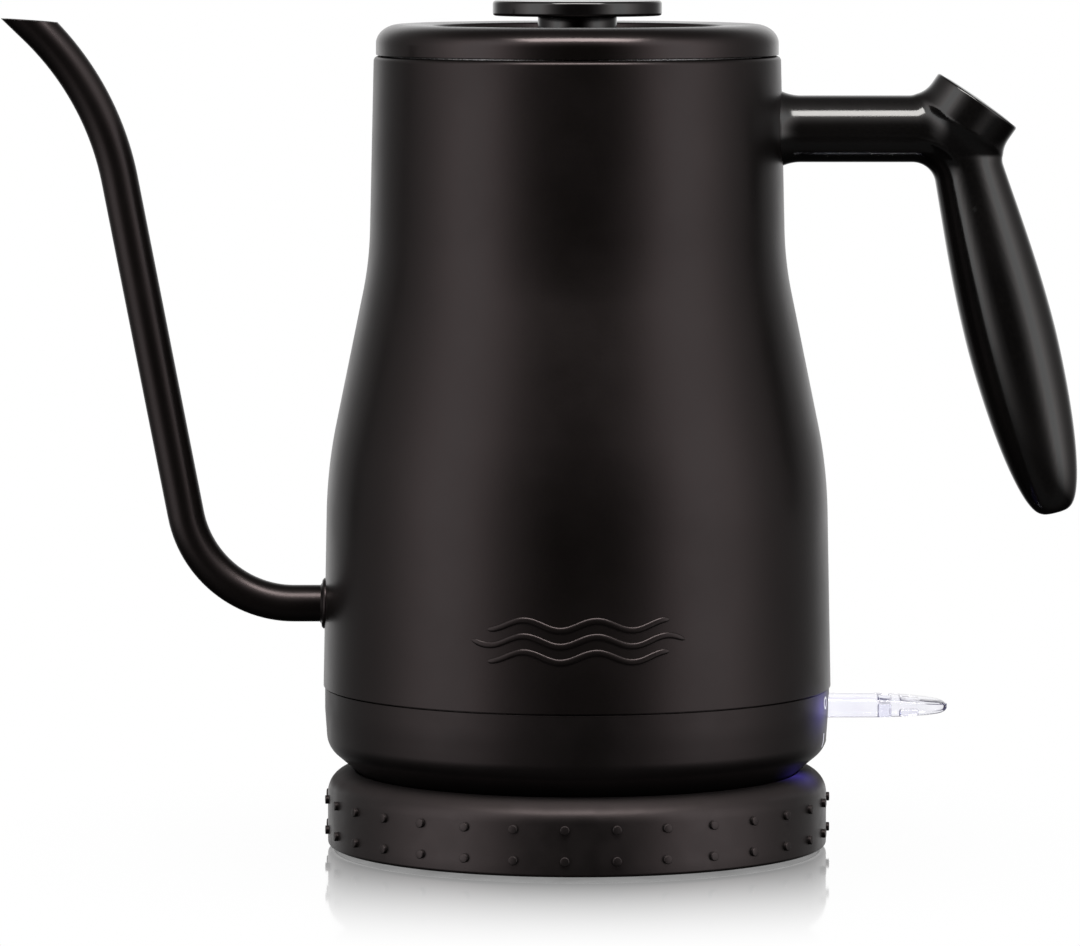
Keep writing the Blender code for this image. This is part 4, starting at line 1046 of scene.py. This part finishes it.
def handle_height(points):
    """Height of points above the handle: arm, bend and grip, with the stub blended in."""
    x, y, z = points.T
    down = np.array((math.sin(GRIP_LEAN), -math.cos(GRIP_LEAN)))
    turn = math.acos(down[0])
    reach = HANDLE_BEND * math.tan(turn / 2)
    centre_x, centre_z = HANDLE_CORNER_X - reach, ARM_Z - HANDLE_BEND
    flare = np.clip(1.0 - (x - ARM_ROOT) / 0.0052, 0.0, 1.2) ** 2 * ARM_FLARE
    arm = np.hypot(y, z - ARM_Z) - ARM_RADIUS - flare
    past = np.arctan2(x - centre_x, z - centre_z)
    share = np.clip(past / turn, 0.0, 1.0)
    bend_radius = ARM_RADIUS + (float(grip_radius(reach)) - ARM_RADIUS) * share ** 2
    curve = np.hypot(np.hypot(x - centre_x, z - centre_z) - HANDLE_BEND, y) - bend_radius
    along, above = x - HANDLE_CORNER_X, z - ARM_Z
    distance = along * down[0] + above * down[1]
    off = np.hypot(along * down[1] - above * down[0], y)
    widest = ARM_RADIUS + GRIP_SWELL
    tail = np.maximum(distance - GRIP_WIDEST, 0.0) / (GRIP_LENGTH - GRIP_WIDEST)
    power = GRIP_END_POWER
    narrow = widest * (1.0 - GRIP_TAPER * np.minimum(tail, 1.1) ** GRIP_TAPER_POWER)
    oval = ((tail ** power + (off / narrow) ** power) ** (1 / power) - 1.0) * narrow
    grip = np.where(distance > GRIP_WIDEST, oval, off - grip_radius(distance))
    path = np.where((distance > reach) & (z < ARM_Z), grip, curve)
    path = np.where((past < 0) & (x < centre_x + 0.001), arm, path)
    lift = along * math.cos(STUB_TILT) + above * math.sin(STUB_TILT)
    side = np.hypot(along * math.sin(STUB_TILT) - above * math.cos(STUB_TILT), y)
    foot = np.clip(STUB_RADIUS + 0.64 * (lift - 0.0012), 0.0085, STUB_RADIUS)
    stub = np.maximum(side - foot, -(lift + 0.0055))
    near = np.clip(STUB_BLEND - np.abs(path - stub), 0.0, None) / STUB_BLEND
    return np.minimum(path, stub) - near ** 2 * STUB_BLEND / 4


def make_handle():
    """One moulding of arm, grip and stub, and the cap in the stub."""
    down = (math.sin(GRIP_LEAN), -math.cos(GRIP_LEAN))
    stations = [((0.0530, ARM_Z), (1.0, 0.0), ARM_RADIUS + ARM_FLARE),
                ((0.0620, ARM_Z), (1.0, 0.0), ARM_RADIUS)]
    corner = (HANDLE_CORNER_X, ARM_Z)
    turn = bend(corner, (1.0, 0.0), down, HANDLE_BEND, 12)
    stations += [(point, heading, ARM_RADIUS) for point, heading in turn]
    tail = GRIP_LENGTH - GRIP_WIDEST
    spots = [(0.016 + (GRIP_WIDEST - 0.016) * step / 8) for step in range(8)]
    spots += [GRIP_WIDEST + tail * math.sin(math.radians(angle)) for angle in range(0, 90, 6)]
    for distance in spots:
        share = max(0.0, (distance - GRIP_WIDEST) / tail)
        taper = 1.0 - GRIP_TAPER * share ** GRIP_TAPER_POWER
        radius = float(grip_radius(distance)) * taper * (1 - share ** GRIP_END_POWER) ** (1 / GRIP_END_POWER)
        stations.append(((corner[0] + distance * down[0], corner[1] + distance * down[1]), down, radius))
    rough = swept("handle_grip", stations, SMALL, False)
    tilt = shift(AXIS, 0, 0) @ stub_matrix()
    overshoot = 0.0035
    stub = drill("stub_tool", STUB_RADIUS, -0.004, STUB_LENGTH + overshoot, stub_matrix())
    carve(rough, stub, operation="UNION")
    remesh = rough.modifiers.new("remesh", "REMESH")
    remesh.mode = "VOXEL"
    remesh.voxel_size = HANDLE_VOXEL
    settle(rough)
    smooth_onto(rough.data, handle_height, (AXIS, 0, 0))
    finish_stub(rough, tilt)
    root = drill("root_tool", 0.0552, 0.17, 0.22, sides=LARGE)
    bore = drill("bore_tool", 0.0058, 0.050, 0.0690, along_x(ARM_Z))
    carve(rough, root, bore)
    piece(rough, "gloss", "kettle", "handle")
    cap_radius = STUB_RADIUS - STUB_RIM - 0.0003
    cap = [(0, STUB_LENGTH - 0.0017), (cap_radius, STUB_LENGTH - 0.0017), (cap_radius, STUB_LENGTH, 0.0005),
           (cap_radius - 0.0018, STUB_LENGTH + 0.0003, 0.0100), (0, STUB_LENGTH + 0.0006)]
    button = turned("handle_button", cap, MEDIUM, 8, matrix=stub_matrix())
    piece(button, "gloss", "kettle", "handle_cap")


def stub_matrix():
    at = shift(HANDLE_CORNER_X, 0, ARM_Z)
    return at @ Matrix.Rotation(math.pi / 2 - STUB_TILT, 4, "Y")


def smooth_onto(mesh, height, origin, rounds=6):
    """Move every vertex onto the surface where height() is zero."""
    count = len(mesh.vertices)
    flat = np.empty(count * 3, np.float32)
    mesh.vertices.foreach_get("co", flat)
    points = flat.reshape(-1, 3).astype(float) - np.array(origin)
    step = 1e-5
    for _ in range(rounds):
        value = height(points)
        slope = np.stack([(height(points + step * axis) - height(points - step * axis)) / (2 * step)
                          for axis in np.eye(3)], axis=1)
        steepness = np.maximum((slope ** 2).sum(1), 0.25)
        move = -(value / steepness)[:, None] * slope
        points += np.clip(move, -0.0006, 0.0006)
    mesh.vertices.foreach_set("co", (points + np.array(origin)).astype(np.float32).ravel())
    mesh.update()


def finish_stub(obj, matrix):
    """Cut the stub square, and turn its rim and the recess for its cap."""
    bm = bmesh.new()
    bm.from_mesh(obj.data)
    normal = matrix.to_3x3() @ Vector((0, 0, 1))
    cut_at = STUB_LENGTH - 0.0016
    bmesh.ops.bisect_plane(bm, geom=bm.verts[:] + bm.edges[:] + bm.faces[:], dist=1e-7,
                           plane_co=matrix @ Vector((0, 0, cut_at)), plane_no=normal, clear_outer=True)
    rim = [edge for edge in bm.edges if edge.is_boundary]
    inverse = matrix.inverted()
    verts = {vert for edge in rim for vert in edge.verts}
    angles = {vert: math.atan2((inverse @ vert.co).y, (inverse @ vert.co).x) for vert in verts}
    loop = sorted(verts, key=angles.get)

    def spot(vert, radius, height):
        return matrix @ Vector((radius * math.cos(angles[vert]), radius * math.sin(angles[vert]), height))

    for vert in loop:
        vert.co = spot(vert, STUB_RADIUS, cut_at)
    inner, floor = STUB_RADIUS - STUB_RIM, STUB_LENGTH - 0.0020
    profile = [(STUB_RADIUS, cut_at), (STUB_RADIUS, STUB_LENGTH, 0.0006), (inner, STUB_LENGTH, 0.0003),
               (inner, floor), (0, floor)]
    previous = loop
    for radius, height in outline(profile, False, 6)[1:]:
        ring = [bm.verts.new(spot(vert, radius, height)) for vert in (loop if radius > 0 else loop[:1])]
        for index in range(len(loop)):
            after = (index + 1) % len(loop)
            around = (previous[index], previous[after], ring[after % len(ring)], ring[index % len(ring)])
            bm.faces.new(list(dict.fromkeys(around)))
        previous = ring
    bmesh.ops.recalc_face_normals(bm, faces=bm.faces)
    give(bm, obj.data)


# ---- lid

def lid_shoulder(steps):
    """The lid's shoulder, a quarter of an ellipse from its top to its side."""
    width, drop = LID_SHOULDER
    angles = [math.pi / 2 * step / steps for step in range(steps + 1)]
    return [(LID_RADIUS - width * (1 - math.sin(angle)), LID_CREST - drop * (1 - math.cos(angle)))
            for angle in angles]


def make_lid():
    """Dished cover with a rolled shoulder, its steel plug and seal, and the knob."""
    bore, wall = 0.0020, 0.0010
    inside = LID_RADIUS - 0.0013
    corners = [(bore, DISH_FLOOR), (DISH_RADIUS - 0.0068, DISH_FLOOR, 0.0030),
               (DISH_RADIUS, LID_CREST - 0.0003, 0.0012)]
    corners += lid_shoulder(28)
    corners += [(LID_RADIUS, LID_EDGE, 0.0003), (inside, LID_EDGE), (inside, LID_CREST - wall, 0.0037),
                (DISH_RADIUS + 0.0005, LID_CREST - wall - 0.0002),
                (DISH_RADIUS - 0.0062, DISH_FLOOR - wall), (bore, DISH_FLOOR - wall)]
    cover = turned("lid_cover", corners, LARGE, 12, 0.0025)
    piece(cover, "lid_paint", "lid", "lid_shell")
    bottom = low("lid_plug").z
    plug_top = DISH_FLOOR - wall - 0.0003
    skirt_top, skirt_inside, hub = 0.2221, SKIRT_RADIUS - wall, 0.0060
    corners = [(bore, bottom), (SKIRT_RADIUS, bottom, 0.0010), (SKIRT_RADIUS, skirt_top),
               (skirt_inside, skirt_top), (skirt_inside, bottom + wall), (hub, bottom + wall),
               (hub, plug_top), (bore, plug_top)]
    piece(turned("lid_inner", corners, LARGE, 8, 0.004), "steel", "lid", "lid_plug")
    hole = SKIRT_RADIUS + 0.0003
    lip = MOUTH_RADIUS - 0.0004
    corners = [(hole, 0.2075), (lip, 0.2084, 0.0003), (lip, 0.2092, 0.0003), (hole, 0.2100)]
    piece(turned("lid_ring", corners, LARGE, 4), "seal", "lid", "lid_seal")
    disc_bottom = low("knob_disc").z
    stem_bottom = DISH_FLOOR + 0.0003
    stem_top = disc_bottom - 0.0003
    corners = [(0, stem_top), (STEM_RADIUS, stem_top, 0.0002), (STEM_RADIUS, stem_bottom, 0.0004),
               (0.0016, stem_bottom), (0.0016, 0.2222), (0, 0.2222)]
    piece(turned("knob_neck", corners, MEDIUM, 4), "gloss", "lid", "knob_stem")
    corners = [(0, disc_bottom), (KNOB_RADIUS, disc_bottom, 0.0008), (KNOB_RADIUS, KNOB_TOP, 0.0009),
               (0.0195, KNOB_TOP, 0.0020), (0, KNOB_TOP - 0.0003)]
    piece(turned("knob_top", corners, LARGE, 8, 0.003), "gloss", "lid", "knob_disc")


# ---- lever

def make_lever():
    """Clear tongue that thins towards its round tip, with two hollows below."""
    half = (LEVER_HIGH.y - LEVER_LOW.y) / 2
    tail_x, tip_x = LEVER_LOW.x - AXIS, LEVER_HIGH.x - AXIS
    thin_from = tip_x - 0.0210
    stations, squareness = 72, 0.40
    loops = []
    for station in range(stations + 1):
        share = station / stations
        x = tail_x + (tip_x - tail_x) * (share if share < 0.5 else 1 - 2 * (1 - share) ** 2)
        end = max(0.0, (x - (tip_x - half * 1.15)) / (half * 1.15))
        width = half * math.sqrt(max(1e-4, 1.0 - end ** 2.2))
        slim = max(0.0, (x - thin_from) / (tip_x - thin_from))
        top = LEVER_HIGH.z - 0.0018 * slim ** 1.8
        bottom = LEVER_LOW.z + 0.0012 * slim ** 1.8
        middle, thick = (top + bottom) / 2, (top - bottom) / 2
        thick *= max(0.25, (1.0 - end ** 8)) ** 0.5
        loops.append([(x, width * math.copysign(abs(c) ** squareness, c),
                       middle + thick * math.copysign(abs(s) ** squareness, s)) for c, s in circle(SMALL)])
    lever = loose(skin("lever_body", loops, False, True))
    pivot = next(joint for joint in frame["joints"] if joint["name"] == "switch_press")["pos_m"]
    bore_at = shift(pivot[0] - AXIS, 0, pivot[2]) @ Matrix.Rotation(math.pi / 2, 4, "X")
    bore = drill("lever_bore", 0.0018, -0.012, 0.012, bore_at, TINY)
    floor = LEVER_LOW.z - 0.001
    tools = [bore]
    for name, start, end, side, deep, bevel in (("lever_pocket", 0.0818, 0.0856, 0.0042, 0.0036, 0.0004),
                                                ("lever_groove", 0.0876, 0.0930, 0.0048, 0.0024, 0.0006)):
        tools.append(box(name, (start, -side, floor), (end, side, LEVER_LOW.z + deep), bevel))
    carve(lever, *tools)
    piece(lever, "clear", "lever", "switch_lever")


# ---- nodes that keep their CAD shape

def repaint():
    """Give every CAD node that still shows its own finish."""
    finishes = {
        "steel": ("base_screw", "clamp_screw", "cup_screw", "heating_element", "bimetal_disc", "lever_pin",
                  "rocker_pin", "spout_strainer", "handle_stud", "handle_screw", "knob_screw"),
        "matte": ("base_bottom_plate", "cord_clamp", "control_housing", "lever_bracket"),
        "brass": ("element_terminal", "socket_pin_contact", "socket_ring_contact"),
        "aluminium": ("heat_spreader",),
        "seal": ("steam_tube_seal", "handle_screw_seal"),
        "nylon": ("trip_rocker",),
        "board": ("lamp_board",),
        "lamp": ("lever_lamp",),
    }
    for name, node in frame["nodes"].items():
        if node.hide_render:
            continue
        found = [finish for finish, starts in finishes.items() for start in starts if name.startswith(start)]
        if "seal" in found:
            found = ["seal"]
        node.data.materials.clear()
        node.data.materials.append(materials[found[0]])


make_camera()
make_world()
make_floor()
make_lamp()
materials = make_materials()
for make in (make_base, make_plug, make_body, make_cup, make_inside, make_spout, make_handle, make_lid,
             make_lever, repaint):
    make()
